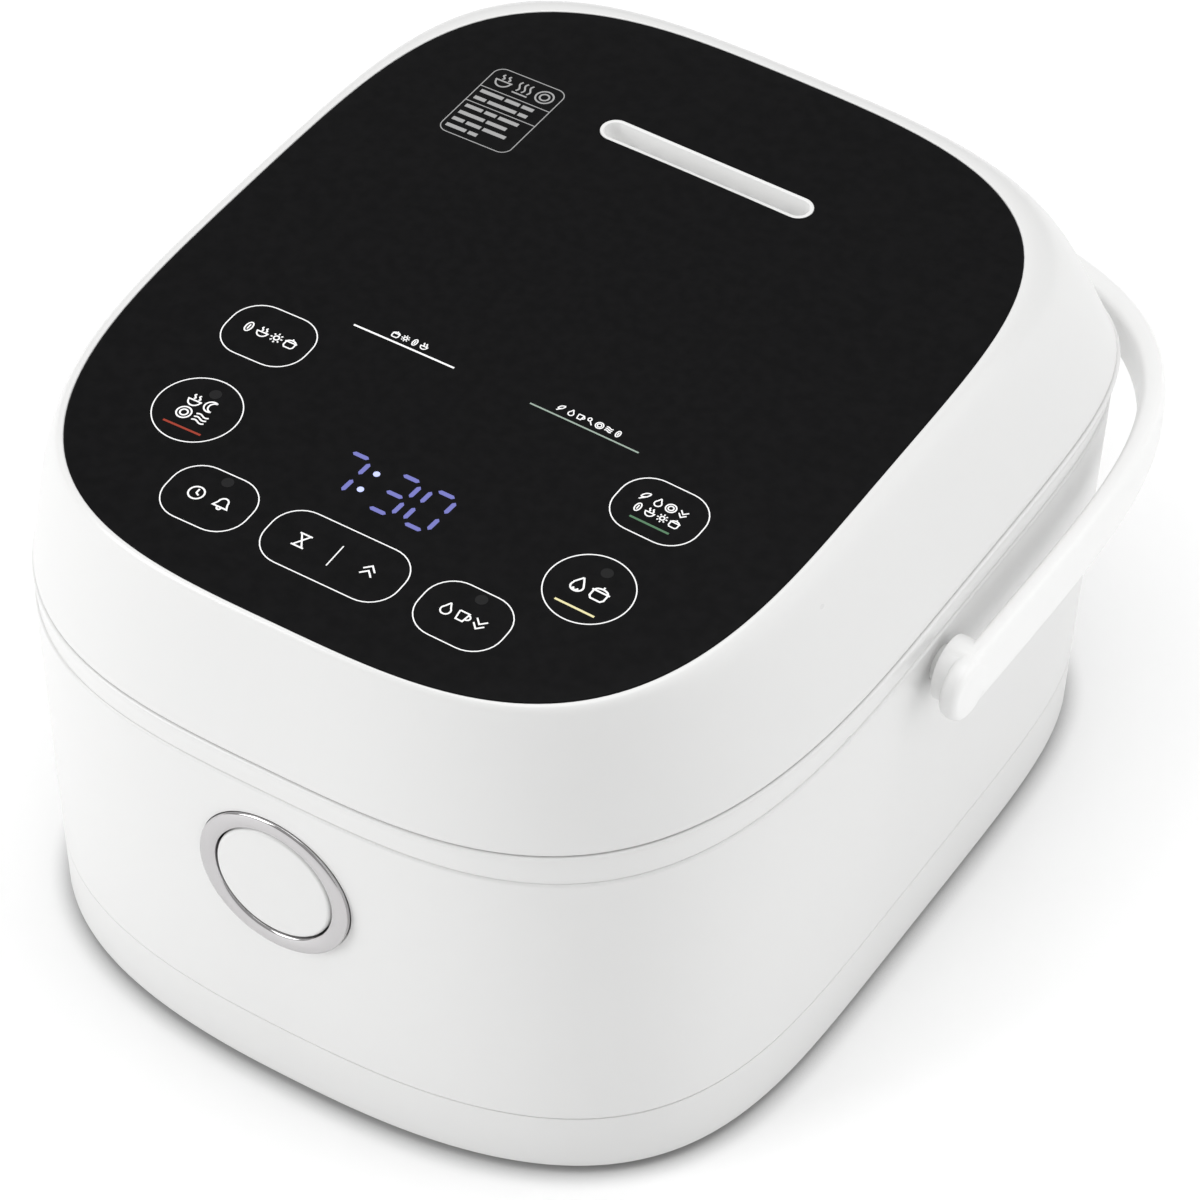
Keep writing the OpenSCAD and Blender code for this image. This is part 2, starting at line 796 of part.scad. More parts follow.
module lid_heater() {
    low = roof_z - 2.8;
    color("darkgray") at_body() {
        difference() {
            translate([0, 0, low]) cylinder(r = 97, h = 1, $fn = 96);
            translate([0, steam_y, 0]) cylinder(r = 11, h = 200, $fn = 48);
            cylinder(r = 8, h = 200, $fn = 40);
        }
        rotate_extrude($fn = 72) translate([56, low + 1.8]) circle(r = 0.8, $fn = 16);
    }
}

module lid_sensor() {
    color(steel) at_body() {
        translate([0, 0, lid_bottom + 1.4]) cylinder(r = 6, h = 11, $fn = 40);
    }
}

inner_lid_low = lid_bottom + 0.2;

// Lift-out aluminium plate over the pot's mouth
module inner_lid() {
    color("lightgray") at_body() difference() {
        union() {
            translate([0, 0, inner_lid_low]) cylinder(r = 104.4, h = 1.1, $fn = 96);
            tube(104.4, 103.2, inner_lid_low, inner_lid_low + 3.4, 96);
        }
        for (a = [0 : 60 : 300]) {
            translate([4 * cos(a), steam_y + 4 * sin(a), 100]) cylinder(r = 1.4, h = 100, $fn = 24);
        }
        translate([0, 0, 100]) cylinder(r = 3, h = 100, $fn = 32);
    }
}

module inner_lid_gasket() {
    low = flange_z + flange_t + 0.3;
    color("lightgray") at_body() {
        tube(104.4, 99.5, low, inner_lid_low, 96);
        tube(106.3, 104.4, low + 1.6, inner_lid_low + 2.4, 96);
    }
}

module inner_lid_clips() {
    color("gray") at_body() both_sides() {
        translate([106.5, -8, inner_lid_low + 0.6]) cube([1.7, 16, 4]);
    }
}

board_half = [78, 42];
board_mid = -83;

module control_board() {
    color("darkgreen") at_body() translate([-board_half[0], board_mid - board_half[1], board_top - 1.6]) {
        cube([2 * board_half[0], 2 * board_half[1], 1.6]);
    }
}

module display_module() {
    low = display_at - display_half;
    top = crown(low[0], low[1]) - panel_t - 0.3;
    color("midnightblue") at_body() translate([low[0], low[1], board_top]) {
        cube([2 * display_half[0], 2 * display_half[1], top - board_top]);
    }
}

// Conductive contacts between the board and the panel, one behind each key
module touch_pads() {
    color("dimgray") at_body() for (p = key_places) {
        top = crown(p[0] + 8 * sign(p[0]), p[1] - 8) - panel_t - 0.3;
        translate([p[0], p[1], board_top]) cylinder(r = 6, h = top - board_top, $fn = 32);
    }
}

module lid_catch() {
    color(steel) at_body() translate([-16, latch_y + 5.4, lid_bottom + 2.8]) cube([32, 13, 1.8]);
}

base_cover();
feet();
base_screws();
outer_body();
body_rim();
pot_well();
side_heater();
induction_coil();
coil_carrier();
ferrite_bars();
inner_pot();
sensor_housing();
sensor_spring();
center_sensor();
power_board();
power_components();
heat_sink();
fan_frame();
fan_rotor();
power_inlet();
inlet_pins();
button_ring();
open_button();
button_spring();
latch_bracket();
latch_pin();
latch_lever();
latch_spring();
hinge_bracket();
hinge_pin();
hinge_springs();
handle_bosses();
handle();
handle_pins();
handle_clips();
lid_cover();
top_panel();
steam_cap();
steam_duct();
steam_seal();
lid_base();
lid_heater();
lid_sensor();
inner_lid();
inner_lid_gasket();
inner_lid_clips();
control_board();
display_module();
touch_pads();
lid_catch();
lid_screws();
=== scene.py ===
import json
import math

import bmesh
import bpy
import numpy as np
from mathutils import Matrix, Vector


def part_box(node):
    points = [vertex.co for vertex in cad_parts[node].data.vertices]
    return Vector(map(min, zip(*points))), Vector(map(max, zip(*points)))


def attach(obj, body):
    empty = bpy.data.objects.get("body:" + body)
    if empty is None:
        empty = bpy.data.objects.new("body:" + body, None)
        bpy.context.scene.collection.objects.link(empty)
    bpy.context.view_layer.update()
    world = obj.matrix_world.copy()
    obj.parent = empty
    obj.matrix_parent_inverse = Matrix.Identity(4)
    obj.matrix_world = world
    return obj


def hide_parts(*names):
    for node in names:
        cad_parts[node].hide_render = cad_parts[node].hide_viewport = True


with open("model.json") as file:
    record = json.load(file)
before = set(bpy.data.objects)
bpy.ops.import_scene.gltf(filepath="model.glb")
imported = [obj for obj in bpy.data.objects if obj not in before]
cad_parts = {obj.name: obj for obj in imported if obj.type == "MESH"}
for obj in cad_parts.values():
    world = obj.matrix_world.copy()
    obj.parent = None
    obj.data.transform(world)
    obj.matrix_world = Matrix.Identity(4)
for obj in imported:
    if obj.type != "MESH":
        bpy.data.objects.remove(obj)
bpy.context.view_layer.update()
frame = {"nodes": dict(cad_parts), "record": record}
nodes = frame["nodes"]

# ---------------------------------------------------------------- dimensions, metres
MM = 0.001
TURN = 2 * math.pi


def middle(node):
    """Centre of a CAD node's box at rest."""
    low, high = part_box(node)
    return (low + high) / 2


BODY_Y = middle("body_rim").y          # centre of the body's outline
WALL = 3 * MM
DECK_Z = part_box("body_rim")[1].z
SEAM_Z = DECK_Z + 0.5 * MM
LID_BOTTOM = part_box("lid_cover")[0].z
BELT_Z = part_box("body_rim")[0].z
BASE_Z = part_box("base_cover")[1].z
FOOT_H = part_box("base_cover")[0].z
LID_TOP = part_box("top_panel")[1].z
PANEL_T = 3 * MM
REAR_TAPER = 0.02                      # narrowing of every outline towards the rear
CROWN_DROP = (2.9 * MM, 3.2 * MM)      # fall of the panel's surface at its side and front edges
SHOULDER = (0.94, 2.56)                # powers that shape the lid's shoulder, outward and upward

# Half width and half depth of the outline at each level, and its corner exponents
SEAM_HALF = np.array([130, 156.8]) * MM
BELT_HALF = SEAM_HALF - 1.5 * MM
LOW_HALF = SEAM_HALF - np.array([5.8, 6.1]) * MM
PANEL_HALF = np.array([113.1, 139.6]) * MM
PANEL_Y = -9.3 * MM
SEAM_FRONT, SEAM_REAR = np.array([3.19, 2.95]), np.array([4.10, 6.35])
BELT_FRONT = np.array([3.22, 3.21])
LOW_FRONT, LOW_REAR = np.array([2.5, 4.4]), np.array([3.6, 5.5])
PANEL_FRONT, PANEL_REAR = np.array([3.12, 3.41]), np.array([3.38, 4.48])

STEAM_Y = middle("steam_cap").y - BODY_Y
SLOT_HALF = (37.4 * MM, 5.1 * MM)
RING_OUTER, RING_INNER = 26.1 * MM, 20.6 * MM
RING_BARREL = 6 * MM
BUTTON_Z = middle("button_ring").z
BUTTON_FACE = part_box("open_button")[0].y
RING_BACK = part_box("button_ring")[1].y - RING_BARREL
PIVOT = Vector((0, middle("handle_pins").y, middle("handle_pins").z))
MOUTH_R = 107 * MM
HINGE = middle("hinge_pin")
BOSS_R = 5.8 * MM
TIP_AHEAD = 5 * MM                     # how far the handle's round ends sit ahead of the pivot

RING_N = 256                           # points in every outline of the body and lid


# ---------------------------------------------------------------- outlines
def mix(p, q, k):
    return p + (q - p) * k


def spow(v, e):
    return np.sign(v) * np.abs(v) ** e


def outline_at(t, half, front, rear):
    """Points of the rounded outline at parameters t: front exponents where y < 0, rear ones behind."""
    c, s = np.cos(t), np.sin(t)
    n = np.where(s < 0, front[0], rear[0])
    m = np.where(s < 0, front[1], rear[1])
    along = spow(s, 2 / m)
    return half[0] * spow(c, 2 / n) * (1 - REAR_TAPER * along), half[1] * along


def even_parameters(count):
    """Parameters that space the seam's outline evenly."""
    quarter = (1 - np.cos(np.linspace(0, math.pi, 4000, endpoint=False))) * math.pi / 4
    fine = np.concatenate([q * math.pi / 2 + quarter for q in range(4)])
    x, y = outline_at(fine, SEAM_HALF, SEAM_FRONT, SEAM_REAR)
    steps = np.hypot(np.diff(x, append=x[0]), np.diff(y, append=y[0]))
    along = np.concatenate([[0], np.cumsum(steps)])
    return np.interp(np.arange(count) / count * along[-1], along, np.append(fine, TURN))


PARAMETERS = even_parameters(RING_N)


def ring(half, front, rear, z, cy=0.0):
    x, y = outline_at(PARAMETERS, half, front, rear)
    return np.stack([x, y + cy + BODY_Y, np.full(RING_N, z)], 1)


def body_ring(z, inset=0.0):
    k = (z - FOOT_H) / (BELT_Z - FOOT_H)
    return ring(mix(LOW_HALF, BELT_HALF, k) - inset, mix(LOW_FRONT, BELT_FRONT, k),
                mix(LOW_REAR, SEAM_REAR, k), z)


def crown(x, y):
    """Height of the panel's surface; y is measured from the body's centre."""
    return (LID_TOP - CROWN_DROP[0] * (x / PANEL_HALF[0]) ** 2
            - CROWN_DROP[1] * ((y - PANEL_Y) / PANEL_HALF[1]) ** 2)


def lid_ring(q, inset=0.0, lower=0.0):
    """Ring on the lid's shoulder: q is 90 degrees at the seam and 0 at the panel's edge."""
    q = math.radians(q)
    u, v = math.sin(q) ** SHOULDER[0], math.cos(q) ** SHOULDER[1]
    side = ring(mix(PANEL_HALF, SEAM_HALF, u) - inset, mix(PANEL_FRONT, SEAM_FRONT, u),
                mix(PANEL_REAR, SEAM_REAR, u), 0, mix(PANEL_Y, 0, u))
    edge = ring(PANEL_HALF, PANEL_FRONT, PANEL_REAR, 0, PANEL_Y)
    side[:, 2] = mix(SEAM_Z, crown(edge[:, 0], edge[:, 1] - BODY_Y), v) - lower
    return side


def panel_ring(grow, depth, scale=1.0):
    flat = ring((PANEL_HALF + grow) * scale, PANEL_FRONT, PANEL_REAR, 0, PANEL_Y)
    flat[:, 2] = crown(flat[:, 0], flat[:, 1] - BODY_Y) - depth
    return flat


def level(points, z):
    points = points.copy()
    points[:, 2] = z
    return points


# ---------------------------------------------------------------- mesh helpers
def new_object(name, verts, faces, smooth_angle=40):
    mesh = bpy.data.meshes.new(name)
    mesh.from_pydata([tuple(v) for v in verts], [], faces)
    mesh.update()
    piece = bpy.data.objects.new(name, mesh)
    bpy.context.scene.collection.objects.link(piece)
    tidy_mesh(piece, smooth_angle)
    return piece


def tidy_mesh(piece, smooth_angle=40):
    """Outward normals, smooth faces, and sharp edges above the angle."""
    bm = bmesh.new()
    bm.from_mesh(piece.data)
    bmesh.ops.recalc_face_normals(bm, faces=bm.faces)
    limit = math.radians(smooth_angle)
    for face in bm.faces:
        face.smooth = True
    for edge in bm.edges:
        edge.smooth = len(edge.link_faces) == 2 and edge.calc_face_angle(0) < limit
    bm.to_mesh(piece.data)
    bm.free()


def skin(name, rings, closed=False, smooth_angle=40):
    """Surface through rings of equal count; closed joins the last ring to the first instead of capping."""
    count, size = len(rings), len(rings[0])
    verts = np.concatenate(rings)
    faces = []
    for j in range(count if closed else count - 1):
        p, q = j * size, ((j + 1) % count) * size
        faces += [(p + i, p + (i + 1) % size, q + (i + 1) % size, q + i) for i in range(size)]
    if not closed:
        faces += [tuple(range(size))[::-1], tuple(range((count - 1) * size, count * size))]
    return new_object(name, verts, faces, smooth_angle)


def circle(cx, cy, r, steps):
    return [(cx + r * math.cos(a), cy + r * math.sin(a)) for a in np.arange(steps) * TURN / steps]


def lathe(name, profile, at, axis, steps, smooth_angle=35):
    """Turns a closed profile of (radius, height) about an axis through a point."""
    size = len(profile)
    spots, verts, rows = {}, [], []
    for a in np.arange(steps) * TURN / steps:
        row = []
        for r, h in profile:
            key = ("pole", round(h, 7)) if r < 1e-7 else None
            if key is None or key not in spots:
                verts.append((r * math.cos(a), r * math.sin(a), h))
                if key is not None:
                    spots[key] = len(verts) - 1
                row.append(len(verts) - 1)
            else:
                row.append(spots[key])
        rows.append(row)
    faces = []
    for j in range(steps):
        a, b = rows[j], rows[(j + 1) % steps]
        for i in range(size):
            k = (i + 1) % size
            corners = list(dict.fromkeys([a[i], b[i], b[k], a[k]]))
            if len(corners) > 2:
                faces.append(tuple(corners))
    turn = Matrix.Rotation(math.radians(90), 4, "X" if axis == "Y" else "Y")
    place = Matrix.Translation(Vector(at)) @ turn
    return new_object(name, [place @ Vector(v) for v in verts], faces, smooth_angle)


def arc(cx, cy, r, start, end, steps=6):
    """Points of a round corner in a profile, angles in degrees."""
    return [(cx + r * math.cos(math.radians(a)), cy + r * math.sin(math.radians(a)))
            for a in np.linspace(start, end, steps)]


def combine(piece, other, operation):
    """Cuts another shape out of a piece or merges it in for good, and removes that shape."""
    modifier = piece.modifiers.new("combine", "BOOLEAN")
    modifier.object = other
    modifier.operation = operation
    modifier.solver = "EXACT"
    depsgraph = bpy.context.evaluated_depsgraph_get()
    depsgraph.update()
    mesh = bpy.data.meshes.new_from_object(piece.evaluated_get(depsgraph))
    piece.modifiers.clear()
    piece.data = mesh
    bpy.data.objects.remove(other)


def cut(piece, *shapes):
    for shape in shapes:
        combine(piece, shape, "DIFFERENCE")
    tidy_mesh(piece)


def box_shape(name, low, high):
    (a, b, c), (d, e, f) = low, high
    corners = [(a, b, c), (d, b, c), (d, e, c), (a, e, c), (a, b, f), (d, b, f), (d, e, f), (a, e, f)]
    sides = [(3, 2, 1, 0), (4, 5, 6, 7), (0, 1, 5, 4), (1, 2, 6, 5), (2, 3, 7, 6), (3, 0, 4, 7)]
    return new_object(name, corners, sides, 10)


def rod(name, r, start, end, steps=96):
    """Plain round cutting shape between two points along X, Y or Z."""
    start, end = Vector(start), Vector(end)
    turn = (end - start).to_track_quat("Z", "Y").to_matrix().to_4x4()
    height = (end - start).length
    place = Matrix.Translation(start) @ turn
    return skin(name, [np.array([place @ Vector((x, y, h)) for x, y in circle(0, 0, r, steps)])
                       for h in (0, height)])


# ---------------------------------------------------------------- materials
def shader(name, color, roughness, metallic=0.0, **inputs):
    """Principled material; inputs are set on the shader's own sockets."""
    mat = bpy.data.materials.new(name)
    mat.use_nodes = True
    bsdf = mat.node_tree.nodes["Principled BSDF"]
    bsdf.inputs["Base Color"].default_value = (*color, 1)
    bsdf.inputs["Roughness"].default_value = roughness
    bsdf.inputs["Metallic"].default_value = metallic
    for key, value in inputs.items():
        bsdf.inputs[key.replace("_", " ")].default_value = value
    return mat


def link(mat, source, out, target, into):
    mat.node_tree.links.new(source.outputs[out], target.inputs[into])


def noise(mat, scale, detail=3.0, stretch=None):
    """Noise in the piece's own space, in cycles per metre; stretch squeezes it along the axes."""
    tree = mat.node_tree.nodes
    texture = tree.new("ShaderNodeTexNoise")
    texture.inputs["Scale"].default_value = scale
    texture.inputs["Detail"].default_value = detail
    coords = tree.new("ShaderNodeTexCoord")
    if stretch is None:
        link(mat, coords, "Object", texture, "Vector")
    else:
        mapping = tree.new("ShaderNodeMapping")
        mapping.inputs["Scale"].default_value = stretch
        link(mat, coords, "Object", mapping, "Vector")
        link(mat, mapping, "Vector", texture, "Vector")
    return texture


def vary_roughness(mat, texture, low, high):
    """Roughness from low to high over the range that noise really covers."""
    spread = mat.node_tree.nodes.new("ShaderNodeMapRange")
    spread.inputs["From Min"].default_value = 0.1
    spread.inputs["From Max"].default_value = 0.9
    spread.inputs["To Min"].default_value = low
    spread.inputs["To Max"].default_value = high
    link(mat, texture, "Fac", spread, "Value")
    link(mat, spread, "Result", mat.node_tree.nodes["Principled BSDF"], "Roughness")


def vary_color(mat, texture, first, second, low=0.35, high=0.65, out="Fac"):
    ramp = mat.node_tree.nodes.new("ShaderNodeValToRGB")
    ramp.color_ramp.elements[0].position = low
    ramp.color_ramp.elements[0].color = (*first, 1)
    ramp.color_ramp.elements[1].position = high
    ramp.color_ramp.elements[1].color = (*second, 1)
    link(mat, texture, out, ramp, "Fac")
    link(mat, ramp, "Color", mat.node_tree.nodes["Principled BSDF"], "Base Color")


def add_bump(mat, texture, strength, distance):
    bump = mat.node_tree.nodes.new("ShaderNodeBump")
    bump.inputs["Strength"].default_value = strength
    bump.inputs["Distance"].default_value = distance
    link(mat, texture, "Fac", bump, "Height")
    link(mat, bump, "Normal", mat.node_tree.nodes["Principled BSDF"], "Normal")


def moulded(name, color, roughness, grain, depth, strength, tint=0.02, coat=0.0):
    """Moulded material: fine grain in cycles per metre, its depth in metres and its strength,
    a slow roughness change, a trace of colour change and a clear coat."""
    mat = shader(name, color, roughness, Coat_Weight=coat, Coat_Roughness=0.12)
    vary_roughness(mat, noise(mat, 40), roughness * 0.86, roughness * 1.14)
    darker = tuple(c * (1 - tint) for c in color)
    vary_color(mat, noise(mat, 18, 4), darker, color, 0.0, 1.0)
    add_bump(mat, noise(mat, grain, 2), strength, depth)
    return mat


def brushed(name, color, roughness, stretch):
    """Metal with fine parallel lines."""
    mat = shader(name, color, roughness, metallic=1.0)
    lines = noise(mat, 700, 3, stretch)
    vary_roughness(mat, lines, roughness * 0.75, roughness * 1.3)
    add_bump(mat, lines, 0.2, 0.01 * MM)
    darker = tuple(c * 0.93 for c in color)
    vary_color(mat, noise(mat, 30, 3), darker, color)
    return mat


def panel_black():
    """Near-black panel with a very fine satin grain."""
    mat = shader("satin_black_panel", (0.0050, 0.0050, 0.0053), 0.42, Specular_IOR_Level=0.05)
    grain = noise(mat, 1500, 2, (1.0, 0.25, 1.0))
    vary_roughness(mat, grain, 0.38, 0.48)
    add_bump(mat, grain, 0.12, 0.01 * MM)
    vary_color(mat, noise(mat, 260, 4), (0.0043, 0.0043, 0.0046), (0.0060, 0.0059, 0.0063))
    return mat


def pot_coating():
    """Dark non-stick coating with a fine metallic speckle."""
    mat = shader("pot_coating", (0.05, 0.05, 0.052), 0.38, metallic=0.25)
    specks = noise(mat, 1600, 1)
    vary_color(mat, specks, (0.035, 0.035, 0.037), (0.17, 0.165, 0.16), 0.62, 0.74)
    vary_roughness(mat, noise(mat, 60), 0.32, 0.44)
    add_bump(mat, noise(mat, 900, 2), 0.15, 0.02 * MM)
    return mat


def chrome():
    mat = shader("polished_chrome", (0.53, 0.52, 0.525), 0.08, metallic=1.0)
    vary_roughness(mat, noise(mat, 120), 0.06, 0.11)
    add_bump(mat, noise(mat, 60, 2), 0.05, 0.02 * MM)
    return mat


def print_ink(name, color, glow=0.0):
    """Thin printed ink; glow gives it emission as a lit segment has, which on plain print is a painted glow.
    """
    mat = shader(name, color, 0.5, Specular_IOR_Level=0.1)
    vary_roughness(mat, noise(mat, 500), 0.42, 0.58)
    add_bump(mat, noise(mat, 2500, 2), 0.1, 0.01 * MM)
    if glow > 0:
        shine = mat.node_tree.nodes["Principled BSDF"].inputs
        shine["Emission Color"].default_value = (*color, 1)
        shine["Emission Strength"].default_value = glow
    return mat


WHITE = (0.745, 0.745, 0.74)
materials = {
    "white_shell": moulded("white_shell_plastic", WHITE, 0.30, 1400, 0.01 * MM, 0.12, 0.012, 0.25),
    "white_button": moulded("button_plastic", (0.735, 0.735, 0.73), 0.34, 1400, 0.01 * MM, 0.12, 0.012, 0.2),
    "white_cap": moulded("cap_plastic", (0.78, 0.78, 0.775), 0.42, 1200, 0.01 * MM, 0.2),
    "base_plastic": moulded("base_plastic", (0.74, 0.74, 0.735), 0.42, 900, 0.02 * MM, 0.2, 0.012),
    "lid_plastic": moulded("lid_underside_plastic", (0.42, 0.42, 0.42), 0.5, 900, 0.03 * MM, 0.3),
    "dark_plastic": moulded("dark_plastic", (0.028, 0.028, 0.030), 0.5, 800, 0.04 * MM, 0.35, 0.1),
    "frame_plastic": moulded("glass_filled_plastic", (0.30, 0.26, 0.18), 0.55, 500, 0.05 * MM, 0.4, 0.15),
    "grey_plastic": moulded("grey_plastic", (0.33, 0.33, 0.34), 0.45, 900, 0.03 * MM, 0.3),
    "foot_rubber": moulded("foot_rubber", (0.03, 0.03, 0.03), 0.75, 600, 0.06 * MM, 0.5, 0.12),
    "seal_rubber": moulded("silicone", (0.45, 0.45, 0.44), 0.55, 500, 0.03 * MM, 0.3, 0.05),
    "pad_rubber": moulded("pad_rubber", (0.03, 0.03, 0.03), 0.7, 600, 0.05 * MM, 0.4, 0.1),
    "steel": brushed("bright_steel", (0.58, 0.58, 0.59), 0.32, (1, 1, 12)),
    "bare_aluminium": brushed("spun_aluminium", (0.74, 0.74, 0.75), 0.34, (1, 14, 1)),
    "coil_copper": brushed("enamelled_copper", (0.62, 0.29, 0.14), 0.35, (1, 1, 20)),
    "ferrite": moulded("sintered_ferrite", (0.03, 0.03, 0.032), 0.6, 700, 0.06 * MM, 0.5, 0.1),
    "board_green": moulded("solder_mask", (0.01, 0.10, 0.035), 0.35, 400, 0.03 * MM, 0.3, 0.15),
    "pin_metal": brushed("plated_brass", (0.70, 0.60, 0.36), 0.25, (1, 10, 1)),
    "display": moulded("display_filter", (0.01, 0.01, 0.03), 0.3, 900, 0.01 * MM, 0.1, 0.1),
    "black_panel": panel_black(),
    "pot_coating": pot_coating(),
    "chrome_trim": chrome(),
}
# Painted light: the handle and the bosses are the white shell plastic, given here as a lighter copy that
# stands in for light falling on them.
WHITE_SHELL_PAINTED_LIGHTER = moulded("white_shell_painted_lighter", (0.88, 0.88, 0.875), 0.30, 1400, 0.01 * MM, 0.12, 0.012, 0.25)
# Painted glow: the white print shines faintly though it is no lamp, which makes it brighter than its colour.
INK_WITH_PAINTED_GLOW = print_ink("white_print_painted_glow", (0.86, 0.86, 0.86), 0.16)
INK_DIM = print_ink("grey_print", (0.014, 0.014, 0.0145))
INK_GREY = print_ink("pale_grey_print", (0.36, 0.36, 0.36))
INK_RED = print_ink("red_print", (0.33, 0.05, 0.03))
INK_CREAM = print_ink("cream_print", (0.80, 0.74, 0.42))
INK_GREEN = print_ink("green_print", (0.10, 0.21, 0.12))
INK_PALE_GREEN = print_ink("pale_green_print", (0.34, 0.42, 0.36))
LED = print_ink("display_segment", (0.13, 0.135, 0.36), 0.45)
LED_DOT = print_ink("display_dot", (0.42, 0.46, 0.75), 0.5)


def dress(piece, slot_name, body, *stands_for, mat=None):
    """Gives a piece its material, the slot's unless mat is given, and makes it ride on a body."""
    piece.data.materials.clear()
    piece.data.materials.append(mat or materials[slot_name])
    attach(piece, body)
    if stands_for:
        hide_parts(*stands_for)


# ---------------------------------------------------------------- carried-over CAD nodes
def dress_cad_nodes():
    """Every CAD node takes its slot's material, and its flat facets are smoothed below 30 degrees."""
    for row in frame["record"]["subparts"]:
        node = nodes[row["node"]]
        node.data.materials.clear()
        node.data.materials.append(materials[row["material_slot"]])
        node.data.polygons.foreach_set("use_smooth", [True] * len(node.data.polygons))
        node.data.set_sharp_from_angle(angle=math.radians(30))


dress_cad_nodes()


# ---------------------------------------------------------------- shells
def round_edge(make, z, r, start, end, steps=6):
    """Rings of a rounded edge: make(inset) gives the outline, z is the edge circle's middle height."""
    rows = []
    for a in np.linspace(math.radians(start), math.radians(end), steps):
        rows.append(level(make(r * (1 - math.cos(a))), z + r * math.sin(a)))
    return rows


def make_lid_cover():
    """Domed shell, open below, with a ledge that carries the panel and a notch for the hinge."""
    edge_r, ledge_w, ledge_drop = 0.6 * MM, 7 * MM, 0.2 * MM
    low = round_edge(lambda inset: lid_ring(74, inset), LID_BOTTOM - 0.15 * MM + edge_r, edge_r, -90, 0)
    shoulder = [lid_ring(q) for q in np.linspace(72, 0, 30)]
    lip_r = 0.5 * MM
    lip = [panel_ring(-lip_r * math.sin(a), lip_r * (1 - math.cos(a)))
           for a in np.linspace(0.3, math.pi / 2, 5)]
    ledge = [panel_ring(-lip_r, PANEL_T + ledge_drop), panel_ring(-ledge_w, PANEL_T + ledge_drop),
             panel_ring(-ledge_w, PANEL_T + 2.8 * MM)]
    inside = [lid_ring(q, WALL, 2.4 * MM) for q in np.linspace(24, 66, 9)]
    bottom = [level(lid_ring(80, WALL + 0.6 * MM), LID_BOTTOM)]
    shell = skin("lid_shell", low + shoulder + lip + ledge + inside + bottom, closed=True)
    notch_half = 58 * MM
    notch = box_shape("hinge_notch", (-notch_half, HINGE.y - 6 * MM, LID_BOTTOM - 2 * MM),
                      (notch_half, HINGE.y + 20 * MM, HINGE.z + 4.7 * MM))
    cut(shell, notch)
    dress(shell, "white_shell", "lid", "lid_cover")


def slot_path(half_length, half_width):
    """Outline of a slot with round ends, counter-clockwise about its own centre."""
    run = half_length - half_width
    right = [(run + half_width * math.cos(a), half_width * math.sin(a))
             for a in np.linspace(-math.pi / 2, math.pi / 2, 24)]
    left = [(-x, -y) for x, y in right]
    return right + left


def slot_rings(path_at, heights):
    """Rings of a slot shape: path_at(k) gives the outline of each height."""
    return [np.array([(x, y + BODY_Y + STEAM_Y, z) for x, y in path_at(k)]) for k, z in enumerate(heights)]


def make_top_panel():
    """Crowned panel with a rounded edge, in rings that close in towards its middle, cut by the slot."""
    gap, edge_r = 0.55 * MM, 0.6 * MM
    scales = [0.02, 0.12, 0.25, 0.4, 0.55, 0.7, 0.84, 0.95]
    under = [panel_ring(-gap, PANEL_T, s) for s in scales + [1.0]]
    edge = [panel_ring(-gap - edge_r * (1 - math.cos(a)), edge_r * (1 - math.sin(a)))
            for a in np.linspace(0, math.pi / 2, 6)]
    top = [panel_ring(-gap, 0, s) for s in scales[::-1]]
    panel = skin("black_top_panel", under + edge + top)
    cut(panel, skin("slot_cutter", slot_rings(lambda k: slot_path(*SLOT_HALF),
                                              (LID_TOP - 12 * MM, LID_TOP + 5 * MM))))
    dress(panel, "black_panel", "lid", "top_panel")


def make_steam_cap():
    """Trough with rounded lips and a row of vents in its floor; a step is (growth, height)."""
    low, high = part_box("steam_cap")
    top = high.z
    wall, lip, gap = 1.35 * MM, 0.35 * MM, 0.15 * MM
    vent_w, vent_half = 2 * MM, 2.2 * MM

    def grown(g):
        return slot_path(SLOT_HALF[0] - gap + g, SLOT_HALF[1] - gap + g)

    steps = [(0, low.z), (0, top - lip), (-lip * 0.3, top - lip * 0.3), (-lip, top),
             (-wall + lip, top), (-wall + lip * 0.3, top - lip * 0.3), (-wall, top - lip),
             (-wall - 0.5 * MM, low.z + 2.4 * MM), (-wall - 1.2 * MM, low.z + 1.6 * MM)]
    cap = skin("steam_cap_trough", slot_rings(lambda k: grown(steps[k][0]), [z for _, z in steps]))
    for k in range(8):
        x, y = (8 * k - 28) * MM, BODY_Y + STEAM_Y
        cut(cap, box_shape(f"vent_{k}", (x - vent_w / 2, y - vent_half, low.z - MM),
                           (x + vent_w / 2, y + vent_half, low.z + 3 * MM)))
    dress(cap, "white_cap", "lid", "steam_cap")


